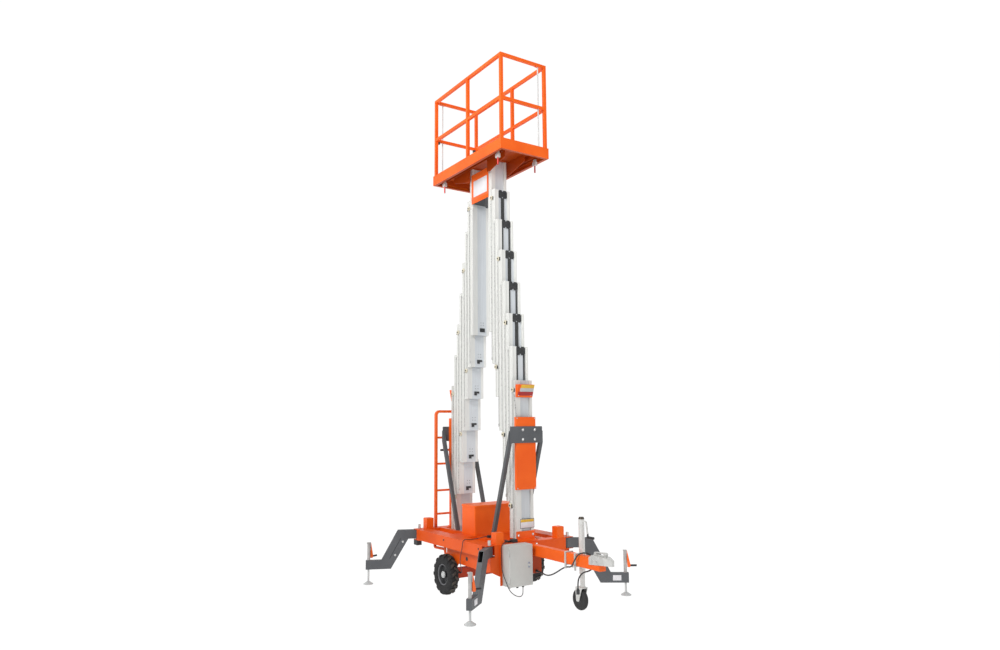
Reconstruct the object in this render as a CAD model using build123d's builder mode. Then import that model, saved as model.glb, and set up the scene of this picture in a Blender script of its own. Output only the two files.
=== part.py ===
from build123d import *
from math import atan, cos, hypot, pi, radians, sin, sqrt, tan
import os

os.makedirs("parts", exist_ok=True)

# Stations are measured from a point on the ground midway between the two masts:
# +X to the tow coupling, +Y to the far side, +Z up. Millimetres.

# Chassis
chassis_length = 1630
chassis_width = 1148
chassis_top = 624
beam_depth = 120
beam_wall = 6
side_beam_width = 160
end_beam_width = 108.7
inner_rail_y = 235
inner_rail_width = 60
inner_rail_depth = 90
centre_member_length = 300
skirt_inset = 54
skirt_bottom = 352
skirt_rear_x = -167
apron_far_y = 130
apron_bottom = 290
corner_plate = 150
socket_inset_x = 50
socket_inset_y = 174
socket_size = 92
socket_height = 121

# Masts: each section stands inside and above the one before it
section_count = 8
section_length = 2088
section_bottom = 262
section_raise = 383
section_step = 67
section_depth = 60
section_width = 228
section_wall = 6
groove_width = 126
groove_depth = 14
groove_shift = 16
rib_y = 100
rib_width = 14

# Deck and guardrail
rail_length = 1573
rail_width = 651
rail_height = 1160
rail_tube = 36
mid_rail_rise = 615
near_post_x = 30
far_post_x = 100
rail_inset = 12
deck_bottom = 4950
toe_board = 127
deck_floor_rise = 92
deck_floor_thick = 6
frame_lip = 40
frame_wall = 4
rod_radius = 8
rod_inset = 92

# Running gear
wheel_x = 0
wheel_y = 583
wheel_z = 222
tyre_radius = 217
tyre_width = 112
rim_radius = 112
axle_tube = 100
axle_wall = 6
stub_radius = 20

# Tow bar and coupling
bar_height = 112
bar_width = 80
bar_wall = 6
bar_middle_z = 545
bar_end_x = 1950
coupling_length = 295
coupling_tip_x = 2100
ball_radius = 25

# Jockey wheel
jockey_x = 1545
jockey_y = 92
jockey_radius = 30
jockey_tube_low = 395
jockey_tube_top = 925
leg_radius = 24
jockey_trail = 40
jockey_wheel_z = 145
jockey_wheel_radius = 104
jockey_wheel_width = 52

# Outriggers
pin_inset_x = 30
pin_inset_y = 59
arm_tube_height = 104
arm_tube_width = 56
arm_wall = 5
pin_radius = 16
jack_radius = 18
jack_top = 470
screw_radius = 12
foot_radius = 58
foot_height = 30

# Each outrigger: name, X side, Y side, degrees outward from the X axis, reach from pin to jack,
# middle height of its low tube, and the way its crank points, in degrees from the X axis
outriggers = [
    ("front_near", 1, -1, 49.4, 640, 188, 93),
    ("front_far", 1, 1, 54.2, 630, 188, 57),
    ("rear_near", -1, -1, 66.0, 598, 222, 109),
    ("rear_far", -1, 1, 66.0, 598, 222, -66),
]

# Working clearances
slide_gap = section_step - section_depth
running_gap = 8
seat_gap = 0.3

half_length = chassis_length / 2
half_width = chassis_width / 2
mast_face_x = half_length - end_beam_width - seat_gap
pin_x = half_length - pin_inset_x
pin_y = half_width - pin_inset_y
beam_under = chassis_top - beam_depth
skirt_y = half_width - skirt_inset

# Overall reach of the solids in X; the origin lies under its middle
rear_reach = max(
    reach * cos(radians(angle)) for _, side_x, _, angle, reach, _, _ in outriggers if side_x < 0
)
rear_edge_x = -(pin_x + rear_reach + foot_radius)
middle_x = (coupling_tip_x + rear_edge_x) / 2
origin = Location((-middle_x, 0, 0))


def finish(piece, name):
    piece.label = name
    export_step(piece.moved(origin), f"parts/{name}.step")


def outrigger_plane(side_x, side_y, angle, height):
    """Plane at a height over the pin, with x along the arm."""
    along = (side_x * cos(radians(angle)), side_y * sin(radians(angle)), 0)
    return Plane(origin=(side_x * pin_x, side_y * pin_y, height), x_dir=along, z_dir=(0, 0, 1))


def upright(side_x, side_y, angle):
    """Upright plane through the pin, with x along the arm and y up."""
    along = Vector(side_x * cos(radians(angle)), side_y * sin(radians(angle)), 0)
    across = along.cross(Vector(0, 0, 1))
    return Plane(origin=(side_x * pin_x, side_y * pin_y, 0), x_dir=along, z_dir=across)


# Chassis frame: side beams, end beams, rails beside the masts, skirts, apron, corner blocks and box mount
side_beam_y = half_width - side_beam_width / 2
end_beam_x = half_length - end_beam_width / 2
clear_length = chassis_length - 2 * end_beam_width
arm_heel = 26
heel_clear = hypot(arm_heel, arm_tube_width / 2) + running_gap
corner_cut_x = pin_inset_x + heel_clear
corner_cut_y = pin_inset_y + heel_clear
socket_x = half_length - socket_inset_x
socket_y = half_width - socket_inset_y
hanger_half = axle_tube / 2 + 45
hanger_under = wheel_z + axle_tube / 2 + seat_gap
skirt_hole_x = 342
skirt_hole_z = 427
skirt_hole_radius = 22
step_bar = 24
step_reach = 235
step_z = 455

# Control box place, shared with its mount on the front beam
box_near_y = -381
box_width = 291
box_bottom = 214
box_height = 411
box_gap = 12
box_back_x = half_length + box_gap
box_depth = 118
box_wall = 4
door_thick = 16
mount_margin = 23
box_middle_y = box_near_y + box_width / 2
flange_width = bar_width + 70
mount_width = -flange_width / 2 - seat_gap - (box_near_y - mount_margin)
mount_middle_y = box_near_y - mount_margin + mount_width / 2
box_middle_z = box_bottom + box_height / 2

with BuildPart() as chassis_frame:
    with BuildSketch(Plane.XY.offset(beam_under)):
        with Locations((0, side_beam_y), (0, -side_beam_y)):
            Rectangle(chassis_length, side_beam_width)
        with Locations((end_beam_x, 0), (-end_beam_x, 0)):
            Rectangle(end_beam_width, chassis_width)
    extrude(amount=beam_depth)
    with BuildSketch(Plane.XY.offset(chassis_top - inner_rail_depth)):
        with Locations((0, inner_rail_y), (0, -inner_rail_y)):
            Rectangle(chassis_length - end_beam_width, inner_rail_width)
        Rectangle(centre_member_length, chassis_width - side_beam_width)
    extrude(amount=inner_rail_depth)
    with BuildSketch(Plane.XY.offset(beam_under)):
        with Locations((0, side_beam_y), (0, -side_beam_y)):
            Rectangle(chassis_length - 2 * beam_wall, side_beam_width - 2 * beam_wall)
        with Locations((end_beam_x, 0), (-end_beam_x, 0)):
            Rectangle(end_beam_width - 2 * beam_wall, chassis_width - 2 * beam_wall)
    extrude(amount=beam_depth - beam_wall, mode=Mode.SUBTRACT)
    with BuildSketch(Plane.XY.offset(chassis_top - inner_rail_depth)):
        with Locations((0, inner_rail_y), (0, -inner_rail_y)):
            Rectangle(clear_length - 2 * beam_wall, inner_rail_width - 2 * beam_wall)
        Rectangle(centre_member_length - 2 * beam_wall, chassis_width - 2 * side_beam_width - 2 * beam_wall)
    extrude(amount=inner_rail_depth - beam_wall, mode=Mode.SUBTRACT)
    for side in (1, -1):
        with BuildSketch(Plane.XZ.offset(-side * skirt_y)):
            with BuildLine():
                Polyline(
                    (skirt_rear_x, chassis_top - beam_wall / 2),
                    (skirt_rear_x, skirt_bottom + 90),
                    (wheel_x - hanger_half, hanger_under),
                    (wheel_x + hanger_half, hanger_under),
                    (wheel_x + hanger_half + 70, skirt_bottom),
                    (half_length - 345, skirt_bottom),
                    (half_length - 170, skirt_bottom - 22),
                    (half_length - beam_wall, skirt_bottom + 8),
                    (half_length - beam_wall, chassis_top - beam_wall / 2),
                    close=True,
                )
            make_face()
            with Locations((skirt_hole_x, skirt_hole_z)):
                Circle(skirt_hole_radius, mode=Mode.SUBTRACT)
            with Locations((wheel_x - hanger_half - 10, skirt_bottom + 110)):
                SlotOverall(60, 22, rotation=90, mode=Mode.SUBTRACT)
        extrude(amount=side * beam_wall)
    with BuildSketch(Plane.YZ.offset(half_length - beam_wall)):
        with BuildLine():
            Polyline(
                (-skirt_y, chassis_top - beam_wall / 2),
                (-skirt_y, skirt_bottom + 8),
                (-skirt_y + 120, apron_bottom + 12),
                (-skirt_y + 140, apron_bottom),
                (apron_far_y, apron_bottom),
                (apron_far_y, chassis_top - beam_wall / 2),
                close=True,
            )
        make_face()
    extrude(amount=beam_wall)
    with BuildSketch(Plane.XY.offset(beam_under - 1)):
        with GridLocations(chassis_length - corner_cut_x, chassis_width - corner_cut_y, 2, 2):
            Rectangle(corner_cut_x, corner_cut_y)
    extrude(amount=beam_depth - beam_wall + 1, mode=Mode.SUBTRACT)
    with BuildSketch(Plane.XY.offset(beam_under - beam_wall)):
        with GridLocations(chassis_length - corner_plate, chassis_width - corner_plate, 2, 2):
            Rectangle(corner_plate, corner_plate)
    extrude(amount=beam_wall)
    with BuildSketch(Plane.XY.offset(beam_under - beam_wall)):
        with GridLocations(2 * pin_x, 2 * pin_y, 2, 2):
            Circle(pin_radius + seat_gap)
    extrude(amount=beam_depth + beam_wall, mode=Mode.SUBTRACT)
    # Plate between the front beam and the control box, wider than the box on its near side
    with BuildSketch(Plane.YZ.offset(half_length)):
        with Locations((mount_middle_y, box_middle_z)):
            Rectangle(mount_width, box_height)
    extrude(amount=box_gap - seat_gap)
    # Bar bent down from the near side beam behind the skirt
    with BuildSketch(Plane.XZ.offset(skirt_y)):
        with BuildLine():
            FilletPolyline(
                (skirt_rear_x - step_reach, beam_under + beam_wall / 2),
                (skirt_rear_x - step_reach, step_z),
                (skirt_rear_x + 2, step_z + 8),
                radius=25,
            )
        trace(line_width=step_bar)
    extrude(amount=-step_bar)
finish(chassis_frame.part, "chassis_frame")

# Four blocks on the corners of the frame
with BuildPart() as deck_sockets:
    with BuildSketch(Plane.XY.offset(chassis_top)):
        with GridLocations(2 * socket_x, 2 * socket_y, 2, 2):
            Rectangle(socket_size, socket_size)
    extrude(amount=socket_height)
    chamfer(deck_sockets.edges().group_by(Axis.Z)[-1], 5)
finish(deck_sockets.part, "deck_sockets")

# Axle: a square tube under the skirts with a capped end and a round stub on each side
axle_reach = skirt_y
with BuildPart() as axle_beam:
    with BuildSketch(Plane.XZ.offset(-axle_reach)):
        with Locations((wheel_x, wheel_z)):
            Rectangle(axle_tube, axle_tube)
            Rectangle(axle_tube - 2 * axle_wall, axle_tube - 2 * axle_wall, mode=Mode.SUBTRACT)
    extrude(amount=2 * axle_reach)
    for side in (1, -1):
        with BuildSketch(Plane.XZ.offset(-side * axle_reach)):
            with Locations((wheel_x, wheel_z)):
                Circle(stub_radius)
        extrude(amount=-side * (wheel_y - axle_reach + 34))
        with BuildSketch(Plane.XZ.offset(-side * axle_reach)):
            with Locations((wheel_x, wheel_z)):
                Rectangle(axle_tube, axle_tube)
        extrude(amount=side * axle_wall)
finish(axle_beam.part, "axle_beam")

# Road wheels: two staggered rows of lugs on a faceted tread with sloping shoulders, a dished rim and its hub
lug_count = 14
lug_height = 11
lug_width = 46
shoulder_depth = 14
shoulder_slope = 52
hub_radius = 36
disc_thick = 8
rim_half = tyre_width / 2 - 12
crown_radius = tyre_radius - lug_height
facet_radius = crown_radius / cos(pi / (2 * lug_count))
row_width = tyre_width / 2 - shoulder_depth
lug_reach = tyre_width / 2 - 6
for side, side_name in ((-1, "near"), (1, "far")):
    wheel_centre = Vector(wheel_x, side * wheel_y, wheel_z)
    across = Plane(origin=wheel_centre, x_dir=(0, side, 0), z_dir=(side, 0, 0))
    middle = Plane.XZ.offset(-side * wheel_y)
    with BuildPart() as tyre:
        for row in (1, -1):
            with BuildSketch(middle):
                with Locations((wheel_x, wheel_z)):
                    RegularPolygon(facet_radius, 2 * lug_count)
            extrude(amount=row * row_width)
            with BuildSketch(middle):
                with Locations((wheel_x, wheel_z)):
                    lug_turn = 90 * (row + 1) / lug_count
                    with PolarLocations(tyre_radius - lug_width / 3, lug_count, start_angle=lug_turn):
                        Rectangle(2 * lug_width / 3, lug_width)
            extrude(amount=row * lug_reach)
            with BuildSketch(middle.offset(row * row_width)):
                with Locations((wheel_x, wheel_z)):
                    RegularPolygon(facet_radius, 2 * lug_count)
            extrude(amount=row * shoulder_depth, taper=shoulder_slope)
        with BuildSketch(middle.offset(-tyre_width / 2)):
            with Locations((wheel_x, wheel_z)):
                Circle(rim_radius)
        extrude(amount=tyre_width, mode=Mode.SUBTRACT)
    finish(tyre.part, f"tyre_{side_name}")
    with BuildPart() as rim:
        with BuildSketch(across):
            with BuildLine():
                Polyline(
                    (-rim_half, rim_radius - seat_gap),
                    (rim_half, rim_radius - seat_gap),
                    (rim_half, rim_radius - disc_thick),
                    (disc_thick, rim_radius - 3 * disc_thick),
                    (disc_thick, hub_radius),
                    (rim_half - 6, hub_radius),
                    (rim_half - 6, stub_radius + seat_gap),
                    (-rim_half, stub_radius + seat_gap),
                    (-rim_half, hub_radius),
                    (0, hub_radius),
                    (0, rim_radius - 3 * disc_thick),
                    (-rim_half, rim_radius - disc_thick),
                    close=True,
                )
            make_face()
        revolve(axis=Axis(wheel_centre, (0, 1, 0)))
    finish(rim.part, f"rim_{side_name}")

# Tow bar: a square tube with rounded edges, welded to a flange on the front beam
flange_thick = 12
bar_bend = 10
with BuildPart() as tow_bar:
    with BuildSketch(Plane.YZ.offset(half_length)):
        with Locations((0, bar_middle_z)):
            RectangleRounded(flange_width, bar_height + 20, 8)
    extrude(amount=flange_thick)
    with BuildSketch(Plane.YZ.offset(half_length + flange_thick)):
        with Locations((0, bar_middle_z)):
            RectangleRounded(bar_width, bar_height, bar_bend)
            inner_width = bar_width - 2 * bar_wall
            inner_height = bar_height - 2 * bar_wall
            RectangleRounded(inner_width, inner_height, bar_bend - bar_wall, mode=Mode.SUBTRACT)
    extrude(amount=bar_end_x - half_length - flange_thick)
finish(tow_bar.part, "tow_bar")

# Ball coupling: a pressed housing that caps the end of the bar, its ball socket, and a latch handle
coupling_start_x = coupling_tip_x - coupling_length
coupling_half = bar_width / 2 + 5
coupling_roof = bar_middle_z + bar_height / 2 + 26
skirt_drop = 66
ball_x = coupling_tip_x - 55
nose_top = coupling_roof - 20
nose_under = nose_top - 54
latch_length = 205
latch_width = 24
latch_rise = 40
with BuildPart() as tow_coupling:
    with BuildSketch(Plane.XZ.offset(-coupling_half)):
        with BuildLine():
            Polyline(
                (coupling_start_x, coupling_roof - 26 - skirt_drop),
                (coupling_start_x, coupling_roof - 28),
                (coupling_start_x + 36, coupling_roof),
                (ball_x - 30, coupling_roof),
                (coupling_tip_x, nose_top),
                (coupling_tip_x, nose_under),
                (ball_x - 30, nose_under),
                close=True,
            )
        make_face()
    extrude(amount=2 * coupling_half)
    with BuildSketch(Plane.XY.offset(coupling_roof - 27 - skirt_drop)):
        with BuildLine():
            Polyline(
                (coupling_start_x - 1, coupling_half),
                (coupling_start_x - 1, -coupling_half),
                (ball_x - 30, -coupling_half),
                (coupling_tip_x, -coupling_half / 3),
                (coupling_tip_x, coupling_half / 3),
                (ball_x - 30, coupling_half),
                close=True,
            )
        make_face()
    extrude(amount=skirt_drop + 28, mode=Mode.INTERSECT)
    with BuildSketch(Plane.YZ.offset(coupling_start_x - 1)):
        with Locations((0, bar_middle_z)):
            RectangleRounded(bar_width + 2 * seat_gap, bar_height + 2 * seat_gap, bar_bend)
    extrude(amount=bar_end_x - coupling_start_x + 1 + seat_gap, mode=Mode.SUBTRACT)
    with BuildSketch(Plane.XY.offset(nose_under - 20)):
        with Locations((ball_x, 0)):
            Circle(ball_radius)
    extrude(amount=20 + ball_radius, mode=Mode.SUBTRACT)
    with BuildSketch(Plane.XZ.offset(-latch_width / 2)):
        with BuildLine():
            Polyline(
                (ball_x - latch_length, coupling_roof - 4),
                (ball_x - latch_length + 10, coupling_roof + latch_rise - 12),
                (ball_x - 40, coupling_roof + latch_rise),
                (ball_x - 20, coupling_roof + latch_rise - 10),
                (ball_x - 34, coupling_roof - 4),
                close=True,
            )
        make_face()
        with Locations((ball_x - latch_length / 2 - 10, coupling_roof + latch_rise / 2 - 4)):
            SlotOverall(latch_length / 2, 16, mode=Mode.SUBTRACT)
    extrude(amount=latch_width)
finish(tow_coupling.part, "tow_coupling")

# Jockey wheel: tube held beside the bar by two clamps, its crank, inner leg, fork and wheel
clamp_stations = (1450, 1600)
clamp_thick = 8
clamp_length = 24
clamp_drop = 34
cheek_y = bar_width / 2 + seat_gap + clamp_thick / 2
clamp_width = bar_width + 2 * clamp_thick + 2 * seat_gap
clamp_height = bar_height + 2 * clamp_thick + 2 * seat_gap
cheek_z = bar_middle_z - clamp_drop / 2
with BuildPart() as jockey_clamps:
    for station in clamp_stations:
        with BuildSketch(Plane.YZ.offset(station - clamp_length / 2)):
            with Locations((0, bar_middle_z)):
                Rectangle(clamp_width, clamp_height)
            with Locations((cheek_y, cheek_z), (-cheek_y, cheek_z)):
                Rectangle(clamp_thick, bar_height + 2 * clamp_thick + clamp_drop)
            with Locations((0, bar_middle_z)):
                Rectangle(bar_width + 2 * seat_gap, bar_height + 2 * seat_gap, mode=Mode.SUBTRACT)
        extrude(amount=clamp_length)
    with BuildSketch(Plane.XY.offset(bar_middle_z - 40)):
        with Locations((sum(clamp_stations) / 2, cheek_y)):
            Rectangle(clamp_stations[1] - clamp_stations[0], clamp_thick)
        with Locations((jockey_x, jockey_y)):
            Circle(jockey_radius + 10)
        with Locations((jockey_x, (jockey_y + cheek_y) / 2)):
            Rectangle(40, jockey_y - cheek_y)
        with Locations((jockey_x, jockey_y)):
            Circle(jockey_radius + seat_gap, mode=Mode.SUBTRACT)
    extrude(amount=80)
finish(jockey_clamps.part, "jockey_clamps")

crank_top = jockey_tube_top - 20
crank_rod = 14
crank_reach = 96
crank_drop = 150
grip_radius = 13
grip_length = 92
with BuildPart() as jockey_tube:
    with BuildSketch(Plane.XY.offset(jockey_tube_low)):
        with Locations((jockey_x, jockey_y)):
            Circle(jockey_radius)
            Circle(leg_radius + 1, mode=Mode.SUBTRACT)
    extrude(amount=jockey_tube_top - jockey_tube_low)
    with BuildSketch(Plane.XY.offset(jockey_tube_top)):
        with Locations((jockey_x, jockey_y)):
            Circle(jockey_radius)
    extrude(amount=18, taper=18)
    with BuildSketch(Plane.XZ.offset(-jockey_y - crank_rod / 2)):
        with BuildLine():
            FilletPolyline(
                (jockey_x + jockey_radius - 3, crank_top),
                (jockey_x + crank_reach - 24, crank_top),
                (jockey_x + crank_reach, crank_top - crank_drop),
                radius=20,
            )
        trace(line_width=crank_rod)
    extrude(amount=crank_rod)
    with BuildSketch(Plane.YZ.offset(jockey_x + crank_reach - crank_rod / 2)):
        with Locations((jockey_y, crank_top - crank_drop)):
            Circle(grip_radius)
    extrude(amount=grip_length)
finish(jockey_tube.part, "jockey_tube")

jockey_wheel_x = jockey_x - jockey_trail
fork_plate = 6
fork_top_z = jockey_wheel_z + jockey_wheel_radius + 2 * running_gap
with BuildPart() as jockey_leg:
    with BuildSketch(Plane.XY.offset(fork_top_z + fork_plate)):
        with Locations((jockey_x, jockey_y)):
            Circle(leg_radius)
    extrude(amount=jockey_tube_top - 185 - fork_top_z - fork_plate)
finish(jockey_leg.part, "jockey_leg")

fork_gap = jockey_wheel_width + 16
spindle_radius = 8
with BuildPart() as jockey_fork:
    with BuildSketch(Plane.XY.offset(fork_top_z - running_gap)):
        with Locations(((jockey_x + jockey_wheel_x) / 2, jockey_y)):
            Rectangle(100, fork_gap + 2 * fork_plate)
    extrude(amount=running_gap)
    with BuildSketch(Plane.XY.offset(fork_top_z)):
        with Locations((jockey_x, jockey_y)):
            Circle(leg_radius + 6)
    extrude(amount=fork_plate - seat_gap)
    for side in (1, -1):
        with BuildSketch(Plane.XZ.offset(-(jockey_y + side * fork_gap / 2))) as cheek:
            with BuildLine():
                Polyline(
                    (jockey_wheel_x - 30, fork_top_z),
                    (jockey_x + 30, fork_top_z),
                    (jockey_wheel_x + 22, jockey_wheel_z - 16),
                    (jockey_wheel_x - 18, jockey_wheel_z - 16),
                    close=True,
                )
            make_face()
            fillet(cheek.vertices().group_by(Axis.Z)[0], 12)
        extrude(amount=-side * fork_plate)
    with BuildSketch(Plane.XZ.offset(-(jockey_y - fork_gap / 2))):
        with Locations((jockey_wheel_x, jockey_wheel_z)):
            Circle(spindle_radius)
    extrude(amount=-fork_gap)
finish(jockey_fork.part, "jockey_fork")

# Jockey wheel: a faceted tread with sloping shoulders, bored for its spindle
jockey_sides = 32
jockey_shoulder = 12
jockey_slope = 49
jockey_row = jockey_wheel_width / 2 - jockey_shoulder
with BuildPart() as jockey_wheel:
    jockey_middle = Plane.XZ.offset(-jockey_y)
    for row in (1, -1):
        with BuildSketch(jockey_middle):
            with Locations((jockey_wheel_x, jockey_wheel_z)):
                RegularPolygon(jockey_wheel_radius, jockey_sides)
        extrude(amount=row * jockey_row)
        with BuildSketch(jockey_middle.offset(row * jockey_row)):
            with Locations((jockey_wheel_x, jockey_wheel_z)):
                RegularPolygon(jockey_wheel_radius, jockey_sides)
        extrude(amount=row * jockey_shoulder, taper=jockey_slope)
    with BuildSketch(jockey_middle.offset(-jockey_wheel_width / 2)):
        with Locations((jockey_wheel_x, jockey_wheel_z)):
            Circle(spindle_radius + seat_gap)
    extrude(amount=jockey_wheel_width, mode=Mode.SUBTRACT)
finish(jockey_wheel.part, "jockey_wheel")

# Outriggers: a cranked square-tube arm on its pin, a jack tube with its crank, and a screwed foot
arm_top = chassis_top - beam_wall - 3
arm_under = arm_top - arm_tube_height
slant_start = 0.36
slant_end = 0.70
slant_slope = 0.14
arm_end = 34
mouth_height = 96
pin_sleeve = 8
crank_cap = 10
crank_width = 34
crank_out = 52
crank_tail = 26
jack_crank_drop = 172
jack_grip_radius = 11
jack_grip_length = 78
screw_top = jack_top - 130
for name, side_x, side_y, angle, reach, low_z, crank_turn in outriggers:
    side_view = upright(side_x, side_y, angle)
    low_top = low_z + arm_tube_height / 2
    low_bottom = low_z - arm_tube_height / 2
    with BuildPart() as arm:
        with BuildSketch(side_view.offset(-arm_tube_width / 2)) as outline:
            with BuildLine():
                Polyline(
                    (-arm_heel, arm_under),
                    (-arm_heel, arm_top),
                    ((slant_start + 0.07) * reach, arm_top),
                    ((slant_end + 0.05) * reach, low_top),
                    (reach + arm_end, low_top),
                    (reach + arm_end, low_bottom),
                    ((slant_end - slant_slope) * reach, low_bottom),
                    ((slant_start - slant_slope) * reach, arm_under),
                    close=True,
                )
            make_face()
        extrude(amount=arm_tube_width)
        with BuildSketch(side_view.offset(-arm_tube_width / 2 + arm_wall)):
            with BuildLine():
                Polyline(
                    (-arm_heel - 1, arm_under + arm_wall),
                    (-arm_heel - 1, arm_top - arm_wall),
                    ((slant_start + 0.06) * reach, arm_top - arm_wall),
                    ((slant_end + 0.04) * reach, low_top - arm_wall),
                    (reach + arm_end - arm_wall, low_top - arm_wall),
                    (reach + arm_end - arm_wall, low_bottom + arm_wall),
                    ((slant_end - slant_slope + 0.01) * reach, low_bottom + arm_wall),
                    ((slant_start - slant_slope + 0.01) * reach, arm_under + arm_wall),
                    close=True,
                )
            make_face()
        extrude(amount=arm_tube_width - 2 * arm_wall, mode=Mode.SUBTRACT)
        # Sleeves that carry the pin and the jack through the tube
        with BuildSketch(outrigger_plane(side_x, side_y, angle, arm_under)):
            Circle(pin_radius + pin_sleeve)
        extrude(amount=arm_tube_height)
        with BuildSketch(outrigger_plane(side_x, side_y, angle, low_bottom)):
            with Locations((reach, 0)):
                Circle(arm_tube_width / 2)
        extrude(amount=arm_tube_height)
        with BuildSketch(outrigger_plane(side_x, side_y, angle, low_bottom - 1)):
            with Locations((reach, 0)):
                Circle(jack_radius + seat_gap)
        extrude(amount=arm_tube_height + 2, mode=Mode.SUBTRACT)
        with BuildSketch(outrigger_plane(side_x, side_y, angle, arm_under - 1)):
            Circle(pin_radius + seat_gap)
        extrude(amount=arm_tube_height + 2, mode=Mode.SUBTRACT)
        # Open mouth at the top of the slope
        mouth = outrigger_plane(side_x, side_y, angle, arm_top - arm_wall - mouth_height)
        with BuildSketch(mouth):
            with Locations(((slant_start + 0.15) * reach, 0)):
                Rectangle(0.19 * reach, arm_tube_width - 2 * arm_wall)
        extrude(amount=mouth_height, mode=Mode.SUBTRACT)
    finish(arm.part, f"outrigger_arm_{name}")
    with BuildPart() as jack:
        with BuildSketch(outrigger_plane(side_x, side_y, angle, low_bottom)):
            with Locations((reach, 0)):
                Circle(jack_radius)
                Circle(screw_radius + 1, mode=Mode.SUBTRACT)
        extrude(amount=jack_top - low_bottom)
        crank_along = Vector(cos(radians(crank_turn)), sin(radians(crank_turn)), 0)
        crank_across = crank_along.cross(Vector(0, 0, 1))
        jack_axis = side_view.from_local_coords(Vector(reach, 0, 0))
        crank_view = Plane(origin=jack_axis, x_dir=crank_along, z_dir=crank_across)
        with BuildSketch(crank_view.offset(-crank_width / 2)):
            with BuildLine():
                Polyline(
                    (-jack_radius - 2, jack_top + crank_cap),
                    (jack_radius + 2, jack_top + crank_cap),
                    (crank_out + 4, jack_top - jack_crank_drop + crank_tail),
                    (crank_out, jack_top - jack_crank_drop),
                    (crank_out - crank_tail, jack_top - jack_crank_drop),
                    (jack_radius - 4, jack_top - crank_tail),
                    (-jack_radius - 2, jack_top - 2),
                    close=True,
                )
            make_face()
        extrude(amount=crank_width)
        grip_root = crank_view.from_local_coords(Vector(crank_out - 4, jack_top - jack_crank_drop + 16, 0))
        with BuildSketch(Plane(origin=grip_root, x_dir=crank_across, z_dir=crank_along)):
            Circle(jack_grip_radius)
        extrude(amount=jack_grip_length)
    finish(jack.part, f"outrigger_jack_{name}")
    with BuildPart() as foot:
        with BuildSketch(side_view):
            with BuildLine():
                Polyline(
                    (reach, 0),
                    (reach + foot_radius, 0),
                    (reach + foot_radius, 7),
                    (reach + 24, foot_height),
                    (reach + screw_radius, foot_height),
                    (reach + screw_radius, screw_top),
                    (reach, screw_top),
                    close=True,
                )
            make_face()
        revolve(axis=Axis(side_view.from_local_coords(Vector(reach, 0, 0)), (0, 0, 1)))
    finish(foot.part, f"outrigger_foot_{name}")

pin_head = 50
with BuildPart() as outrigger_pins:
    with BuildSketch(Plane.XY.offset(beam_under - beam_wall)):
        with GridLocations(2 * pin_x, 2 * pin_y, 2, 2):
            Circle(pin_radius)
    extrude(amount=beam_depth + beam_wall + pin_head)
finish(outrigger_pins.part, "outrigger_pins")

# Mast sections: a three-chamber extrusion with a chain groove in its outer face, a cable slot in each
# side, and ribs that slide on the inner face of the section before it
side_slot_width = 16
side_slot_depth = 4
web = 6


def section_profile(side, face_x, ribbed):
    """Profile of one section; face_x is its outer face, side its mast."""
    with BuildSketch(mode=Mode.PRIVATE) as profile:
        with Locations((side * (face_x - section_depth / 2), 0)):
            Rectangle(section_depth, section_width)
        with Locations((side * (face_x - groove_depth / 2), groove_shift)):
            Rectangle(groove_depth, groove_width, mode=Mode.SUBTRACT)
        chamber_depth = section_depth - groove_depth - 2 * section_wall
        chamber_x = side * (face_x - section_depth + section_wall + chamber_depth / 2)
        with Locations((chamber_x, groove_shift)):
            Rectangle(chamber_depth, groove_width - 2 * web, mode=Mode.SUBTRACT)
        for edge in (1, -1):
            pocket_outer = section_width / 2 - section_wall - side_slot_depth
            pocket_inner = groove_width / 2 + web + edge * groove_shift
            with Locations((side * (face_x - section_depth / 2), edge * (pocket_outer + pocket_inner) / 2)):
                Rectangle(section_depth - 2 * section_wall, pocket_outer - pocket_inner, mode=Mode.SUBTRACT)
            slot_y = edge * (section_width - side_slot_depth) / 2
            with Locations((side * (face_x - section_depth / 2), slot_y)):
                Rectangle(side_slot_width, side_slot_depth, mode=Mode.SUBTRACT)
        if ribbed:
            rib_x = side * (face_x + (slide_gap - seat_gap) / 2)
            with Locations((rib_x, rib_y), (rib_x, -rib_y)):
                Rectangle(slide_gap - seat_gap, rib_width)
    return profile.sketch


for number in range(1, section_count + 1):
    bottom = section_bottom + section_raise * (number - 1)
    face_x = mast_face_x - section_step * (number - 1)
    with BuildPart() as section:
        with BuildSketch(Plane.XY.offset(bottom)):
            add(section_profile(1, face_x, number > 1))
            add(section_profile(-1, face_x, number > 1))
        extrude(amount=section_length)
    finish(section.part, "mast_base" if number == 1 else f"mast_section_{number}")

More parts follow.
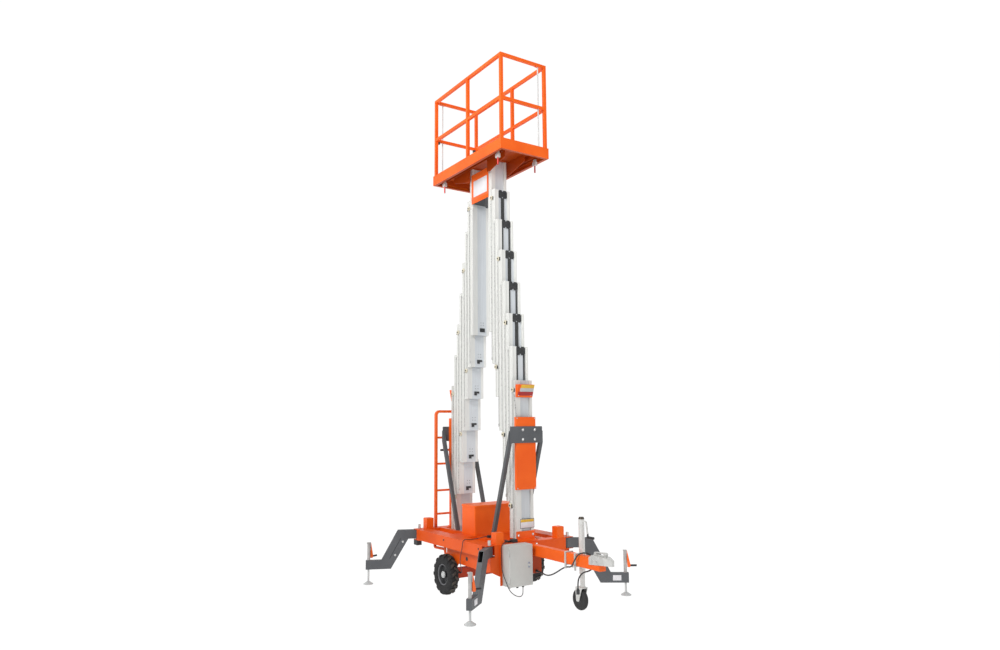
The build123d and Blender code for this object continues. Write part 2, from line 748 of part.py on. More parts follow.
# Lift gear of each middle section: pulley block flush with its top, chains in its groove, anchor at its
# foot, and a side roller; odd sections have one wide chain, even ones two narrow chains
pulley_height = 96
pulley_width = 120
pulley_depth = 12
pulley_corner = 16
notch_width = 26
notch_height = 30
wide_chain = 42
narrow_chain = 15
chain_spread = 92
chain_thick = 8
chain_low = 95
anchor_width = 66
anchor_low = 42
anchor_height = 46
anchor_depth = 9
roller_radius = 19
roller_width = 12
roller_sides = 24
roller_inset = 40
for number in range(2, section_count):
    bottom = section_bottom + section_raise * (number - 1)
    top = bottom + section_length
    face_x = mast_face_x - section_step * (number - 1)
    odd = number % 2 == 1
    seat_x = face_x - groove_depth + seat_gap
    roller_z = top - 105 if odd else bottom + section_raise - 40
    with BuildPart() as lift_gear:
        for side in (1, -1):
            with BuildSketch(Plane.YZ.offset(side * seat_x)) as block:
                with Locations((groove_shift, top - pulley_height / 2)):
                    Rectangle(pulley_width, pulley_height)
                    chamfer(block.vertices(), pulley_corner)
                with Locations((groove_shift, top), (groove_shift, top - pulley_height)):
                    Rectangle(notch_width, notch_height, mode=Mode.SUBTRACT)
            extrude(amount=side * pulley_depth)
            with BuildSketch(Plane.XY.offset(bottom + chain_low)):
                if odd:
                    with Locations((side * (seat_x + chain_thick / 2), groove_shift)):
                        Rectangle(chain_thick, wide_chain)
                else:
                    with Locations((side * (seat_x + chain_thick / 2), groove_shift)):
                        with GridLocations(1, chain_spread, 1, 2):
                            Rectangle(chain_thick, narrow_chain)
            extrude(amount=section_length - chain_low - pulley_height + 2)
            with BuildSketch(Plane.YZ.offset(side * (face_x - section_depth - seat_gap))):
                with Locations((groove_shift, bottom + anchor_low + anchor_height / 2)):
                    Rectangle(anchor_width, anchor_height)
                with Locations((groove_shift + anchor_width / 4, bottom + anchor_low)):
                    Rectangle(anchor_width / 2, anchor_height, mode=Mode.SUBTRACT)
            extrude(amount=-side * anchor_depth)
            with BuildSketch(Plane.XZ.offset(section_width / 2 + seat_gap)):
                with Locations((side * (face_x - roller_inset), roller_z)):
                    RegularPolygon(roller_radius, roller_sides)
            extrude(amount=roller_width)
    finish(lift_gear.part, f"lift_chain_{number}")

# Orange covers on the mast bases: a tall channel, a flared hood above it and a bracket at the foot
cover_bottom = 1163
cover_height = 781
cover_width = 260
cover_depth = 36
cover_wall = 3
hood_bottom = 2160
hood_height = 140
hood_width = 216
hood_flare = 60
foot_width = 240
foot_bracket_height = 96
foot_wall = 8
cover_x = mast_face_x + cover_depth
with BuildPart() as mast_covers:
    for side in (1, -1):
        with BuildSketch(Plane.XY.offset(cover_bottom)):
            with Locations((side * (cover_x - cover_depth / 2), 0)):
                Rectangle(cover_depth, cover_width)
            with Locations((side * (cover_x - cover_depth / 2 - cover_wall), 0)):
                Rectangle(cover_depth, section_width + 2 * seat_gap, mode=Mode.SUBTRACT)
        extrude(amount=cover_height)
        with BuildSketch(Plane.XZ.offset(-hood_width / 2)):
            with BuildLine():
                Polyline(
                    (side * (mast_face_x + seat_gap), hood_bottom),
                    (side * (mast_face_x + 14), hood_bottom),
                    (side * (mast_face_x + hood_flare), hood_bottom + hood_height),
                    (side * (mast_face_x + seat_gap), hood_bottom + hood_height),
                    close=True,
                )
            make_face()
        extrude(amount=hood_width)
        with BuildSketch(Plane.XZ.offset(-foot_width / 2)):
            with BuildLine():
                Polyline(
                    (side * (mast_face_x + seat_gap), chassis_top + seat_gap),
                    (side * (mast_face_x + 70), chassis_top + seat_gap),
                    (side * (mast_face_x + 70), chassis_top + foot_wall),
                    (side * (mast_face_x + foot_wall), chassis_top + foot_wall),
                    (side * (mast_face_x + foot_wall), chassis_top + foot_bracket_height),
                    (side * (mast_face_x + seat_gap), chassis_top + foot_bracket_height),
                    close=True,
                )
            make_face()
        extrude(amount=foot_width)
finish(mast_covers.part, "mast_covers")

# Braces: a bolted plate over each cover and a square-tube strut from each of its ends to the inner rails
plate_bottom = 1662
plate_height = 180
plate_width = 430
plate_thick = 8
strut_size = 40
strut_wall = 3
strut_foot_x = 360
strut_y = 208
plate_x = cover_x + seat_gap
strut_seat = plate_bottom + 8
strut_lean = (plate_x - strut_foot_x - strut_size) / (strut_seat - chassis_top)
strut_cut = strut_size / cos(atan(strut_lean))
wall_cut = strut_wall / cos(atan(strut_lean))


def strut_face(start, reach_x):
    """Height at which a sloping line that starts at the chassis reaches a station."""
    return chassis_top + seat_gap + (reach_x - start) / strut_lean


def strut_outline(side, margin, end_x, foot_z):
    """Side view of a strut, drawn in by a margin from each sloping edge."""
    low = strut_foot_x + margin
    high = strut_foot_x + strut_cut - margin
    with BuildLine(mode=Mode.PRIVATE) as outline:
        Polyline(
            (side * low, foot_z),
            (side * high, foot_z),
            (side * end_x, strut_face(high, end_x)),
            (side * end_x, strut_face(low, end_x)),
            close=True,
        )
    return outline.line


with BuildPart() as mast_braces:
    for side in (1, -1):
        with BuildSketch(Plane.YZ.offset(side * plate_x)):
            with Locations((0, plate_bottom + plate_height / 2)):
                RectangleRounded(plate_width, plate_height, 8)
        extrude(amount=side * plate_thick)
        for edge in (1, -1):
            strut_plane = Plane.XZ.offset(-edge * strut_y - strut_size / 2)
            with BuildSketch(strut_plane):
                with BuildLine():
                    add(strut_outline(side, 0, plate_x, chassis_top + seat_gap))
                make_face()
            extrude(amount=strut_size)
            with BuildSketch(strut_plane.offset(strut_wall)):
                with BuildLine():
                    add(strut_outline(side, wall_cut, plate_x - strut_wall, chassis_top))
                make_face()
            extrude(amount=strut_size - 2 * strut_wall, mode=Mode.SUBTRACT)
finish(mast_braces.part, "mast_braces")

# Ladder on the rear mast: one rail bends over at the top to the mast, and rungs join it to the other
ladder_near_y = -278
ladder_far_y = -62
ladder_top = 2031
ladder_far_top = 1945
ladder_tube = 32
ladder_stand = 84
ladder_bend = 46
rung_radius = 13
rung_heights = (776, 1059, 1384, 1706)
handhold_z = 1551
handhold_length = 150
bracket_height = 40
ladder_x = -(mast_face_x + ladder_stand)
# Stand-offs: height, and the face that each is seated on
brackets = ((1010, mast_face_x), (1885, cover_x))
with BuildPart() as ladder:
    with BuildSketch(Plane.YZ.offset(ladder_x)):
        with BuildLine():
            FilletPolyline(
                (ladder_near_y, chassis_top + seat_gap),
                (ladder_near_y, ladder_top),
                (ladder_far_y + ladder_tube, ladder_top),
                radius=ladder_bend,
            )
        trace(line_width=ladder_tube)
        with Locations((ladder_far_y, (chassis_top + seat_gap + ladder_far_top) / 2)):
            Rectangle(ladder_tube, ladder_far_top - chassis_top - seat_gap)
    extrude(amount=-ladder_tube)
    rung_x = ladder_x - ladder_tube / 2
    for height in rung_heights:
        with BuildSketch(Plane.XZ.offset(-ladder_far_y)):
            with Locations((rung_x, height)):
                Circle(rung_radius)
        extrude(amount=ladder_far_y - ladder_near_y)
    # Handhold on the far rail, and stand-offs to the mast
    with BuildSketch(Plane.XZ.offset(-ladder_far_y)):
        with Locations((rung_x, handhold_z)):
            Circle(rung_radius)
    extrude(amount=handhold_length)
    for height, seat_x in brackets:
        with BuildSketch(Plane.XY.offset(height)):
            with Locations(((ladder_x - seat_x - seat_gap) / 2, ladder_far_y)):
                Rectangle(-ladder_x - seat_x - seat_gap, ladder_tube - 8)
        extrude(amount=bracket_height)
    with BuildSketch(Plane.XY.offset(ladder_top - ladder_tube / 2)):
        with Locations(((ladder_x - mast_face_x - seat_gap) / 2, ladder_far_y + ladder_tube / 2)):
            Rectangle(ladder_stand - seat_gap, ladder_tube)
    extrude(amount=ladder_tube)
finish(ladder.part, "ladder")

# Power unit cover between the masts, with an overhanging lid
power_length = 296
power_width = 600
power_height = 331
lid_height = 24
lid_lip = 5
with BuildPart() as power_box:
    with BuildSketch(Plane.XY.offset(chassis_top + seat_gap)):
        RectangleRounded(power_length - 2 * lid_lip, power_width - 2 * lid_lip, 10)
    extrude(amount=power_height - seat_gap)
    with BuildSketch(Plane.XY.offset(chassis_top + power_height - lid_height)):
        RectangleRounded(power_length, power_width, 12)
    extrude(amount=lid_height)
    chamfer(power_box.faces().sort_by(Axis.Z)[-1].edges(), 4)
finish(power_box.part, "power_box")

# Control box with a rain lip, and its door on two lift-off hinges
hinge_radius = 7
hinge_x = box_back_x + box_depth + seat_gap + door_thick
hinge_y = box_near_y - hinge_radius - 1
hinge_heights = (box_bottom + 70, box_bottom + box_height - 70)
knuckle = 24
leaf_thick = 4
leaf_length = 30
box_front_x = box_back_x + box_depth
with BuildPart() as control_box:
    with BuildSketch(Plane.YZ.offset(box_back_x)):
        with Locations((box_middle_y, box_middle_z)):
            RectangleRounded(box_width, box_height, 5)
    extrude(amount=box_depth)
    with BuildSketch(Plane.YZ.offset(box_back_x + box_wall)):
        with Locations((box_middle_y, box_middle_z)):
            Rectangle(box_width - 2 * box_wall, box_height - 2 * box_wall)
    extrude(amount=box_depth, mode=Mode.SUBTRACT)
    for height in hinge_heights:
        with BuildSketch(Plane.XY.offset(height - knuckle - seat_gap)):
            with Locations((hinge_x, hinge_y)):
                Circle(hinge_radius)
            with Locations((box_front_x - leaf_length / 2, box_near_y - leaf_thick / 2)):
                Rectangle(leaf_length, leaf_thick)
            with Locations(((box_front_x + hinge_x) / 2 - 4, hinge_y + leaf_thick / 2)):
                Rectangle(hinge_x - box_front_x + 8, leaf_thick)
        extrude(amount=knuckle)
finish(control_box.part, "control_box")

lock_y = -139
lock_radius = 12
with BuildPart() as control_door:
    with BuildSketch(Plane.YZ.offset(box_back_x + box_depth + seat_gap)):
        with Locations((box_middle_y, box_middle_z)):
            RectangleRounded(box_width, box_height, 5)
    extrude(amount=door_thick)
    chamfer(control_door.faces().sort_by(Axis.X)[-1].edges(), 3)
    for height in hinge_heights:
        with BuildSketch(Plane.XY.offset(height)):
            with Locations((hinge_x, hinge_y)):
                Circle(hinge_radius)
            with Locations((hinge_x - 7, (hinge_y + box_near_y + 1) / 2)):
                Rectangle(14, box_near_y + 1 - hinge_y)
        extrude(amount=knuckle)
    with BuildSketch(Plane.YZ.offset(box_back_x + box_depth + door_thick)):
        with Locations((lock_y, box_middle_z)):
            Circle(lock_radius)
    extrude(amount=9)
finish(control_door.part, "control_door")

# Deck: a folded frame with its floor, cross channels, mast heads and gusset plates
deck_length = rail_length + 2 * rail_inset
deck_width = rail_width + 2 * rail_inset
floor_under = deck_bottom + deck_floor_rise
floor_top = floor_under + deck_floor_thick
mast_top = section_bottom + section_raise * (section_count - 1) + section_length
head_x = mast_face_x - section_step * (section_count - 1) - section_depth / 2
head_length = section_depth + 40
gusset_y = 140
gusset_thick = 6
gusset_reach = 380
gusset_drop = 78
channel_width = 50
channel_depth = 62
channel_wall = 4
channel_x = deck_length / 2 - 62
clamp_inset_x = 176
clamp_inset_y = 75
mid_channel_y = deck_width / 2 - clamp_inset_y - channel_width / 2 + channel_wall / 2
with BuildPart() as deck:
    with BuildSketch(Plane.XY.offset(deck_bottom)):
        Rectangle(deck_length, deck_width)
        Rectangle(deck_length - 2 * frame_wall, deck_width - 2 * frame_wall, mode=Mode.SUBTRACT)
    extrude(amount=toe_board)
    with BuildSketch(Plane.XY.offset(deck_bottom)):
        Rectangle(deck_length, deck_width)
        Rectangle(deck_length - 2 * frame_lip, deck_width - 2 * frame_lip, mode=Mode.SUBTRACT)
    extrude(amount=frame_wall)
    with BuildSketch(Plane.XY.offset(floor_under - channel_depth)):
        with Locations((0, mid_channel_y), (0, -mid_channel_y)):
            Rectangle(deck_length - frame_wall, channel_width)
            Rectangle(deck_length - frame_wall, channel_width - 2 * channel_wall, mode=Mode.SUBTRACT)
    extrude(amount=channel_depth)
    with BuildSketch(Plane.XY.offset(floor_under - channel_depth)):
        with Locations((channel_x, 0), (-channel_x, 0)):
            Rectangle(channel_wall, deck_width - frame_wall)
    extrude(amount=channel_depth)
    with BuildSketch(Plane.XY.offset(mast_top + seat_gap)):
        with Locations((head_x, 0), (-head_x, 0)):
            Rectangle(head_length, 2 * gusset_y)
    extrude(amount=floor_top - mast_top - seat_gap)
    for side in (1, -1):
        for edge in (1, -1):
            with BuildSketch(Plane.XZ.offset(-edge * gusset_y - gusset_thick / 2)):
                with BuildLine():
                    Polyline(
                        (side * (head_x - 5), floor_top),
                        (side * (head_x - 5), deck_bottom - gusset_drop + 10),
                        (side * (head_x + head_length / 2), deck_bottom - gusset_drop),
                        (side * (head_x + gusset_reach), deck_bottom + channel_wall),
                        (side * (head_x + gusset_reach), floor_top),
                        close=True,
                    )
                make_face()
            extrude(amount=gusset_thick)
    with BuildSketch(Plane.XY.offset(floor_under)):
        Rectangle(deck_length, deck_width)
    extrude(amount=deck_floor_thick)
finish(deck.part, "deck")

# Guardrail: posts that stand on the floor, a top rail and a mid rail, open at the gate
rail_top = deck_bottom + rail_height
mid_rail_z = deck_bottom + mid_rail_rise
rail_x = rail_length / 2 - rail_tube / 2
rail_y = rail_width / 2 - rail_tube / 2
corner_bracket = 70
with BuildPart() as guardrail:
    with BuildSketch(Plane.XY.offset(floor_top + seat_gap)):
        with GridLocations(2 * rail_x, 2 * rail_y, 2, 2):
            Rectangle(rail_tube, rail_tube)
        with Locations((far_post_x, rail_y), (near_post_x, -rail_y)):
            Rectangle(rail_tube, rail_tube)
    extrude(amount=rail_top - floor_top - seat_gap)
    with BuildSketch(Plane.XY.offset(rail_top - rail_tube)):
        Rectangle(rail_length, rail_width)
        Rectangle(rail_length - 2 * rail_tube, rail_width - 2 * rail_tube, mode=Mode.SUBTRACT)
    extrude(amount=rail_tube)
    fillet(guardrail.edges().group_by(Axis.Z)[-1].sort_by_distance((0, 0, rail_top))[-4:], 5)
    with BuildSketch(Plane.XY.offset(mid_rail_z - rail_tube / 2)):
        with Locations((0, rail_y), (0, -rail_y)):
            Rectangle(rail_length, rail_tube)
        with Locations((rail_x, 0)):
            Rectangle(rail_tube, rail_width)
        with Locations((rail_x, rail_y - rod_inset)):
            Circle(rod_radius + seat_gap, mode=Mode.SUBTRACT)
    extrude(amount=rail_tube)
    # Angle brackets under the top rail that hold the rods' heads
    with BuildSketch(Plane.XY.offset(rail_top - rail_tube - 5)):
        with Locations((rail_x, rail_y - rod_inset + 4), (-rail_x, -rail_y + rod_inset - 4)):
            Rectangle(rail_tube, corner_bracket)
    extrude(amount=5)
finish(guardrail.part, "guardrail")

# Gate: the mid bar of the rear side slides up its rod and rests on a catch at each post
gate_clear = 6
gate_length = rail_width - 2 * rail_tube - 2 * gate_clear
with BuildPart() as gate:
    with BuildSketch(Plane.XY.offset(mid_rail_z - rail_tube / 2)):
        with Locations((-rail_x, 0)):
            Rectangle(rail_tube - 8, gate_length)
        with Locations((-rail_x, -rail_y + rod_inset)):
            Circle(rod_radius + 1, mode=Mode.SUBTRACT)
    extrude(amount=rail_tube)
finish(gate.part, "gate")

catch_length = 30
catch_height = 26
with BuildPart() as gate_catches:
    with BuildSketch(Plane.XY.offset(mid_rail_z - rail_tube / 2 - catch_height - seat_gap)):
        for side in (1, -1):
            with Locations((-rail_x, side * (rail_y - rail_tube / 2 - catch_length / 2 - seat_gap))):
                Rectangle(rail_tube, catch_length)
    extrude(amount=catch_height)
finish(gate_catches.part, "gate_catches")

# Thin rods beside two corner posts, from the floor to the brackets under the top rail
with BuildPart() as tie_rods:
    with BuildSketch(Plane.XY.offset(floor_top + seat_gap)):
        with Locations((-rail_x, -rail_y + rod_inset), (rail_x, rail_y - rod_inset)):
            Circle(rod_radius)
    extrude(amount=rail_top - rail_tube - 5 - floor_top - 2 * seat_gap)
finish(tie_rods.part, "tie_rods")

# Clamps under the deck: a hooked casting under the frame lip and a round handle that hangs from it
casting_length = 58
casting_width = 34
casting_height = 46
stem_length = 40
stem_width = 20
handle_radius = 9
handle_length = 84
with BuildPart() as deck_clamps:
    with BuildSketch(Plane.XY.offset(deck_bottom - casting_height)):
        with GridLocations(deck_length - 2 * clamp_inset_x, deck_width - 2 * clamp_inset_y, 2, 2):
            Rectangle(casting_length, casting_width)
    extrude(amount=casting_height - seat_gap)
    with BuildSketch(Plane.XY.offset(deck_bottom - casting_height - handle_length)):
        with GridLocations(deck_length - 2 * clamp_inset_x, deck_width - 2 * clamp_inset_y, 2, 2):
            Circle(handle_radius)
    extrude(amount=handle_length)
    with BuildSketch(Plane.XY.offset(deck_bottom - seat_gap)):
        with GridLocations(deck_length - 2 * clamp_inset_x, deck_width - 2 * clamp_inset_y, 2, 2):
            Rectangle(stem_length, stem_width)
    extrude(amount=floor_under - channel_depth - deck_bottom)
finish(deck_clamps.part, "deck_clamps")

# Rear lamps under the ends of the side beams
lamp_length = 90
lamp_width = 60
lamp_height = 60
lamp_x = -half_length + lamp_length / 2
with BuildPart() as rear_lamps:
    with BuildSketch(Plane.XY.offset(beam_under - beam_wall - lamp_height - seat_gap)):
        with Locations((lamp_x, half_width - lamp_width / 2 - 2), (lamp_x, -half_width + lamp_width / 2 + 2)):
            Rectangle(lamp_length, lamp_width)
    extrude(amount=lamp_height)
finish(rear_lamps.part, "rear_lamps")

# Head box on the near side of the two upper sections: a thin folded cover with a dark block behind its foot
head_box_height = 325
head_box_depth = 8
head_box_wall = 3
head_box_half = head_x - 17
head_block_length = 44
head_block_depth = 34
head_block_height = 125
head_block_x = head_x - section_depth / 2 - 3 - head_block_length / 2
head_box_y = -section_width / 2 - seat_gap - head_box_depth / 2
with BuildPart() as head_box:
    with BuildSketch(Plane.XY.offset(deck_bottom - head_box_height)):
        with Locations((0, head_box_y)):
            Rectangle(2 * head_box_half, head_box_depth)
        with Locations((0, head_box_y + head_box_wall)):
            Rectangle(2 * head_box_half - 2 * head_box_wall, head_box_depth, mode=Mode.SUBTRACT)
    extrude(amount=head_box_height - 2)
    with BuildSketch(Plane.XY.offset(deck_bottom - head_box_height - head_block_height)):
        with Locations((head_block_x, head_box_y + (head_block_depth - head_box_depth) / 2 + 1)):
            Rectangle(head_block_length, head_block_depth)
    extrude(amount=head_block_height + 60)
finish(head_box.part, "head_box")

# Cable glands: three under the control box, a plug at the front mast's foot, one on a rail, one on the
# axle and one on the apron
gland_radius = 12
gland_height = 24
# Plugs that stand on the chassis: x, y, side, height
plugs = ((760, -190, 60, 34), (338, -234, 30, 26))
axle_gland_y = -445
axle_gland_z = 236
hose_gland_y = 62
hose_gland_z = 312
box_glands = ((868, -325), (900, -248), (900, -176))
with BuildPart() as cable_glands:
    with BuildSketch(Plane.XY.offset(box_bottom - gland_height)):
        with Locations(*box_glands):
            Circle(gland_radius)
    extrude(amount=gland_height - seat_gap)
    for plug_x, plug_y, plug_side, plug_height in plugs:
        with BuildSketch(Plane.XY.offset(chassis_top + seat_gap)):
            with Locations((plug_x, plug_y)):
                Rectangle(plug_side, plug_side)
        extrude(amount=plug_height)
    with BuildSketch(Plane.YZ.offset(wheel_x + axle_tube / 2 + seat_gap)):
        with Locations((axle_gland_y, axle_gland_z)):
            Circle(gland_radius)
    extrude(amount=gland_height)
    with BuildSketch(Plane.YZ.offset(half_length + seat_gap)):
        with Locations((hose_gland_y, hose_gland_z)):
            Circle(gland_radius + 4)
    extrude(amount=gland_height + 8, taper=8)
finish(cable_glands.part, "cable_glands")


cord_sides = 8


def cord(points, diameter, name):
    """Tube of straight runs joined by tangent arcs, as large as their runs allow, with flats around it."""
    places = [Vector(*point) for point in points]
    runs = [(b - a).length for a, b in zip(places, places[1:])]
    radii = []
    for before, here, after in zip(places, places[1:], places[2:]):
        turn = radians((here - before).get_angle(after - here))
        shorter = min((here - before).length, (after - here).length)
        radii.append(0.45 * shorter / tan(turn / 2))
    flat_radius = diameter / 2 * sqrt(pi / (cord_sides * sin(pi / cord_sides) * cos(pi / cord_sides)))
    with BuildPart() as tube:
        with BuildLine() as route:
            FilletPolyline(*places, radius=radii)
        with BuildSketch(Plane(origin=places[0], z_dir=places[1] - places[0])):
            RegularPolygon(flat_radius, cord_sides)
        sweep(path=route.wires()[0])
    length = route.wires()[0].length
    share = tube.part.volume / (pi * diameter ** 2 / 4 * length)
    print(name, "length", round(length), "volume share", round(share, 4))
    print("  radii", [round(radius) for radius in radii])
    print("  runs", [round(run) for run in runs])
    finish(tube.part, name)


# Thin cable from the foot plug over the front beam, down beside the control box and up into its gland
box_cable_diameter = 8
box_cable = [
    (760, -220, 645),
    (760, -258, 645),
    (774, -300, 637),
    (806, -330, 638),
    (838, -370, 646),
    (850, -406, 612),
    (844, -404, 552),
    (842, -401, 476),
    (848, -404, 404),
    (880, -411, 346),
    (930, -419, 298),
    (974, -421, 246),
    (988, -400, 192),
    (978, -344, 146),
    (954, -276, 116),
    (924, -216, 104),
    (903, -181, 120),
    (900, -176, 152),
    (900, -176, 190),
]
cord(box_cable, box_cable_diameter, "box_cable")

# Thin cable from the rail over the near side beam and under the skirt to the axle
axle_cable_diameter = 8
axle_cable = [
    (338, -249, 640),
    (338, -296, 640),
    (343, -358, 631),
    (352, -432, 631),
    (366, -502, 631),
    (381, -560, 644),
    (388, -597, 630),
    (376, -596, 584),
    (346, -590, 514),
    (308, -582, 446),
    (268, -562, 384),
    (234, -530, 332),
    (190, -498, 288),
    (144, -466, 252),
    (110, -445, 236),
    (74.3, -445, 236),
]
cord(axle_cable, axle_cable_diameter, "axle_cable")

# Hose from the apron under the tow bar, once round the bar behind its coupling, and down to its plug
trailer_hose_diameter = 14
trailer_hose = [
    (847.3, 62, 312),
    (905, 62, 312),
    (985, 42, 303),
    (1085, 14, 312),
    (1190, -8, 342),
    (1290, -18, 388),
    (1380, -22, 436),
    (1460, -30, 462),
    (1530, -50, 470),
    (1592, -72, 500),
    (1636, -80, 552),
    (1664, -62, 610),
    (1692, -4, 628),
    (1722, 54, 610),
    (1744, 78, 552),
    (1752, 66, 490),
    (1744, 10, 458),
    (1722, -46, 452),
    (1700, -80, 408),
    (1690, -88, 352),
    (1690, -88, 300),
]
cord(trailer_hose, trailer_hose_diameter, "trailer_hose")

# Plug on the end of the hose
plug_radius = 17
plug_length = 52
plug_x, plug_y, plug_z = trailer_hose[-1]
with BuildPart() as trailer_plug:
    with BuildSketch(Plane.XY.offset(plug_z - plug_length)):
        with Locations((plug_x, plug_y)):
            Circle(plug_radius)
    extrude(amount=plug_length - 12)
    with BuildSketch(Plane.XY.offset(plug_z - 12)):
        with Locations((plug_x, plug_y)):
            Circle(plug_radius - 5)
    extrude(amount=12)
finish(trailer_plug.part, "trailer_plug")

print("middle_x", middle_x, "rear_edge_x", rear_edge_x)
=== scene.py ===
from math import cos, pi, radians, sin

import bmesh
import bpy
from mathutils import Matrix, Vector


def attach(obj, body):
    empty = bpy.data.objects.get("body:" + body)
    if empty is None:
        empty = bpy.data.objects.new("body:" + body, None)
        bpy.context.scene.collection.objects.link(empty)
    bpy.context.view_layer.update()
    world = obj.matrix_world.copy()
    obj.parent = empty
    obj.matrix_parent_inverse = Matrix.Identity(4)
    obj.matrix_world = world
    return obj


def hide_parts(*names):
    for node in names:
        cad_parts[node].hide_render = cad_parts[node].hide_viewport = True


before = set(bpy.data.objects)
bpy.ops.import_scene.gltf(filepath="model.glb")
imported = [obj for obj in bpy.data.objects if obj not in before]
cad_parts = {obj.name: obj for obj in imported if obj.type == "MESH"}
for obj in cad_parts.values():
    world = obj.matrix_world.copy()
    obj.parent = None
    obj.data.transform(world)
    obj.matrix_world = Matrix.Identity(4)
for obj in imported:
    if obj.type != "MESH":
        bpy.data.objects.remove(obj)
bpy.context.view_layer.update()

# Stations are measured in metres from midway between the masts, as in the solids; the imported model's
# origin lies further forward
MIDDLE_X = 0.5068857


def at(x, y, z):
    return Vector((x - MIDDLE_X, y, z))


# Sizes that looks and shapes share, as in the solids
UP = Vector((0, 0, 1))
SIDES = (("near", -1), ("far", 1))
SECTIONS = 8
MAST_FACE = 0.706
SECTION_STEP = 0.067
GROOVE_Y = 0.016
TYRE_Y = 0.583
TYRE_Z = 0.222
JOCKEY_X = 1.505
JOCKEY_Y = 0.092
JOCKEY_Z = 0.145


# Materials

COAT_ROUGHNESS = 0.12
GRAIN_DEPTH = 0.0004


class Look:
    """Node material with short calls for noise, masks and bumps."""

    def __init__(self, name, roughness, metallic=0.0, coat=0.0, specular=0.5):
        self.material = bpy.data.materials.new(name)
        self.material.use_nodes = True
        self.tree = self.material.node_tree
        self.shader = self.tree.nodes["Principled BSDF"]
        self.shader.inputs["Roughness"].default_value = roughness
        self.shader.inputs["Metallic"].default_value = metallic
        self.shader.inputs["Coat Weight"].default_value = coat
        self.shader.inputs["Coat Roughness"].default_value = COAT_ROUGHNESS
        self.shader.inputs["Specular IOR Level"].default_value = specular
        self.place = self.tree.nodes.new("ShaderNodeTexCoord").outputs["Object"]

    def link(self, source, target):
        self.tree.links.new(source, target)

    def noise(self, scale, detail=3.0, stretch=(1, 1, 1)):
        mapping = self.tree.nodes.new("ShaderNodeMapping")
        mapping.inputs["Scale"].default_value = stretch
        self.link(self.place, mapping.inputs["Vector"])
        node = self.tree.nodes.new("ShaderNodeTexNoise")
        node.inputs["Scale"].default_value = scale
        node.inputs["Detail"].default_value = detail
        self.link(mapping.outputs["Vector"], node.inputs["Vector"])
        return node.outputs["Fac"]

    def ramp(self, value, low, high, low_at=0.3, high_at=0.7):
        node = self.tree.nodes.new("ShaderNodeValToRGB")
        node.color_ramp.elements[0].position = low_at
        node.color_ramp.elements[1].position = high_at
        node.color_ramp.elements[0].color = (*low, 1)
        node.color_ramp.elements[1].color = (*high, 1)
        self.link(value, node.inputs["Fac"])
        return node.outputs["Color"]

    def math(self, kind, first, second):
        node = self.tree.nodes.new("ShaderNodeMath")
        node.operation = kind
        for socket, value in zip(node.inputs, (first, second)):
            if isinstance(value, (int, float)):
                socket.default_value = value
            else:
                self.link(value, socket)
        return node.outputs[0]

    def vector(self, kind, first, second, output):
        node = self.tree.nodes.new("ShaderNodeVectorMath")
        node.operation = kind
        self.link(first, node.inputs[0])
        node.inputs[1].default_value = second
        return node.outputs[output]

    def axis(self, letter):
        node = self.tree.nodes.new("ShaderNodeSeparateXYZ")
        self.link(self.place, node.inputs[0])
        return node.outputs[letter]

    def away(self, value, centre):
        """Distance of a value from a centre."""
        return self.math("ABSOLUTE", self.math("SUBTRACT", value, centre), 0)

    def near(self, centre, reach):
        """1 within a distance of a point, else 0."""
        return self.math("LESS_THAN", self.vector("DISTANCE", self.place, centre, "Value"), reach)

    def beyond(self, letter, sign, limit):
        """1 where a signed station lies above a limit, else 0."""
        station = self.math("MULTIPLY", self.axis(letter), sign)
        if letter == "X":
            station = self.math("ADD", station, sign * MIDDLE_X)
        return self.math("GREATER_THAN", station, limit)

    def mix(self, mask, first, second):
        node = self.tree.nodes.new("ShaderNodeMix")
        node.data_type = "RGBA"
        self.link(mask, node.inputs["Factor"])
        for socket, value in ((node.inputs["A"], first), (node.inputs["B"], second)):
            if isinstance(value, tuple):
                socket.default_value = (*value, 1)
            else:
                self.link(value, socket)
        return next(output for output in node.outputs if output.type == "RGBA")

    def colour(self, value):
        self.link(value, self.shader.inputs["Base Color"])

    def rough(self, value, low, high):
        node = self.tree.nodes.new("ShaderNodeMapRange")
        node.inputs["To Min"].default_value = low
        node.inputs["To Max"].default_value = high
        self.link(value, node.inputs["Value"])
        self.link(node.outputs["Result"], self.shader.inputs["Roughness"])

    def bump(self, height, depth, strength):
        node = self.tree.nodes.new("ShaderNodeBump")
        node.inputs["Distance"].default_value = depth
        node.inputs["Strength"].default_value = strength
        self.link(height, node.inputs["Height"])
        self.link(node.outputs["Normal"], self.shader.inputs["Normal"])

    def grained(self, tone, scale=380.0, strength=0.2):
        """Takes a tone and a fine grain, and gives the material."""
        self.colour(tone)
        self.bump(self.noise(scale, 2.0), GRAIN_DEPTH, strength)
        return self.material


PAINT_SPECULAR = 0.25
DUST_TOP_Z = 0.5
DUST_SHARE = 0.35
DUST_STRENGTH = 0.35
# Share of the deep colour that a region of painted shade takes
PAINTED_SHADE_SHARE = 0.5


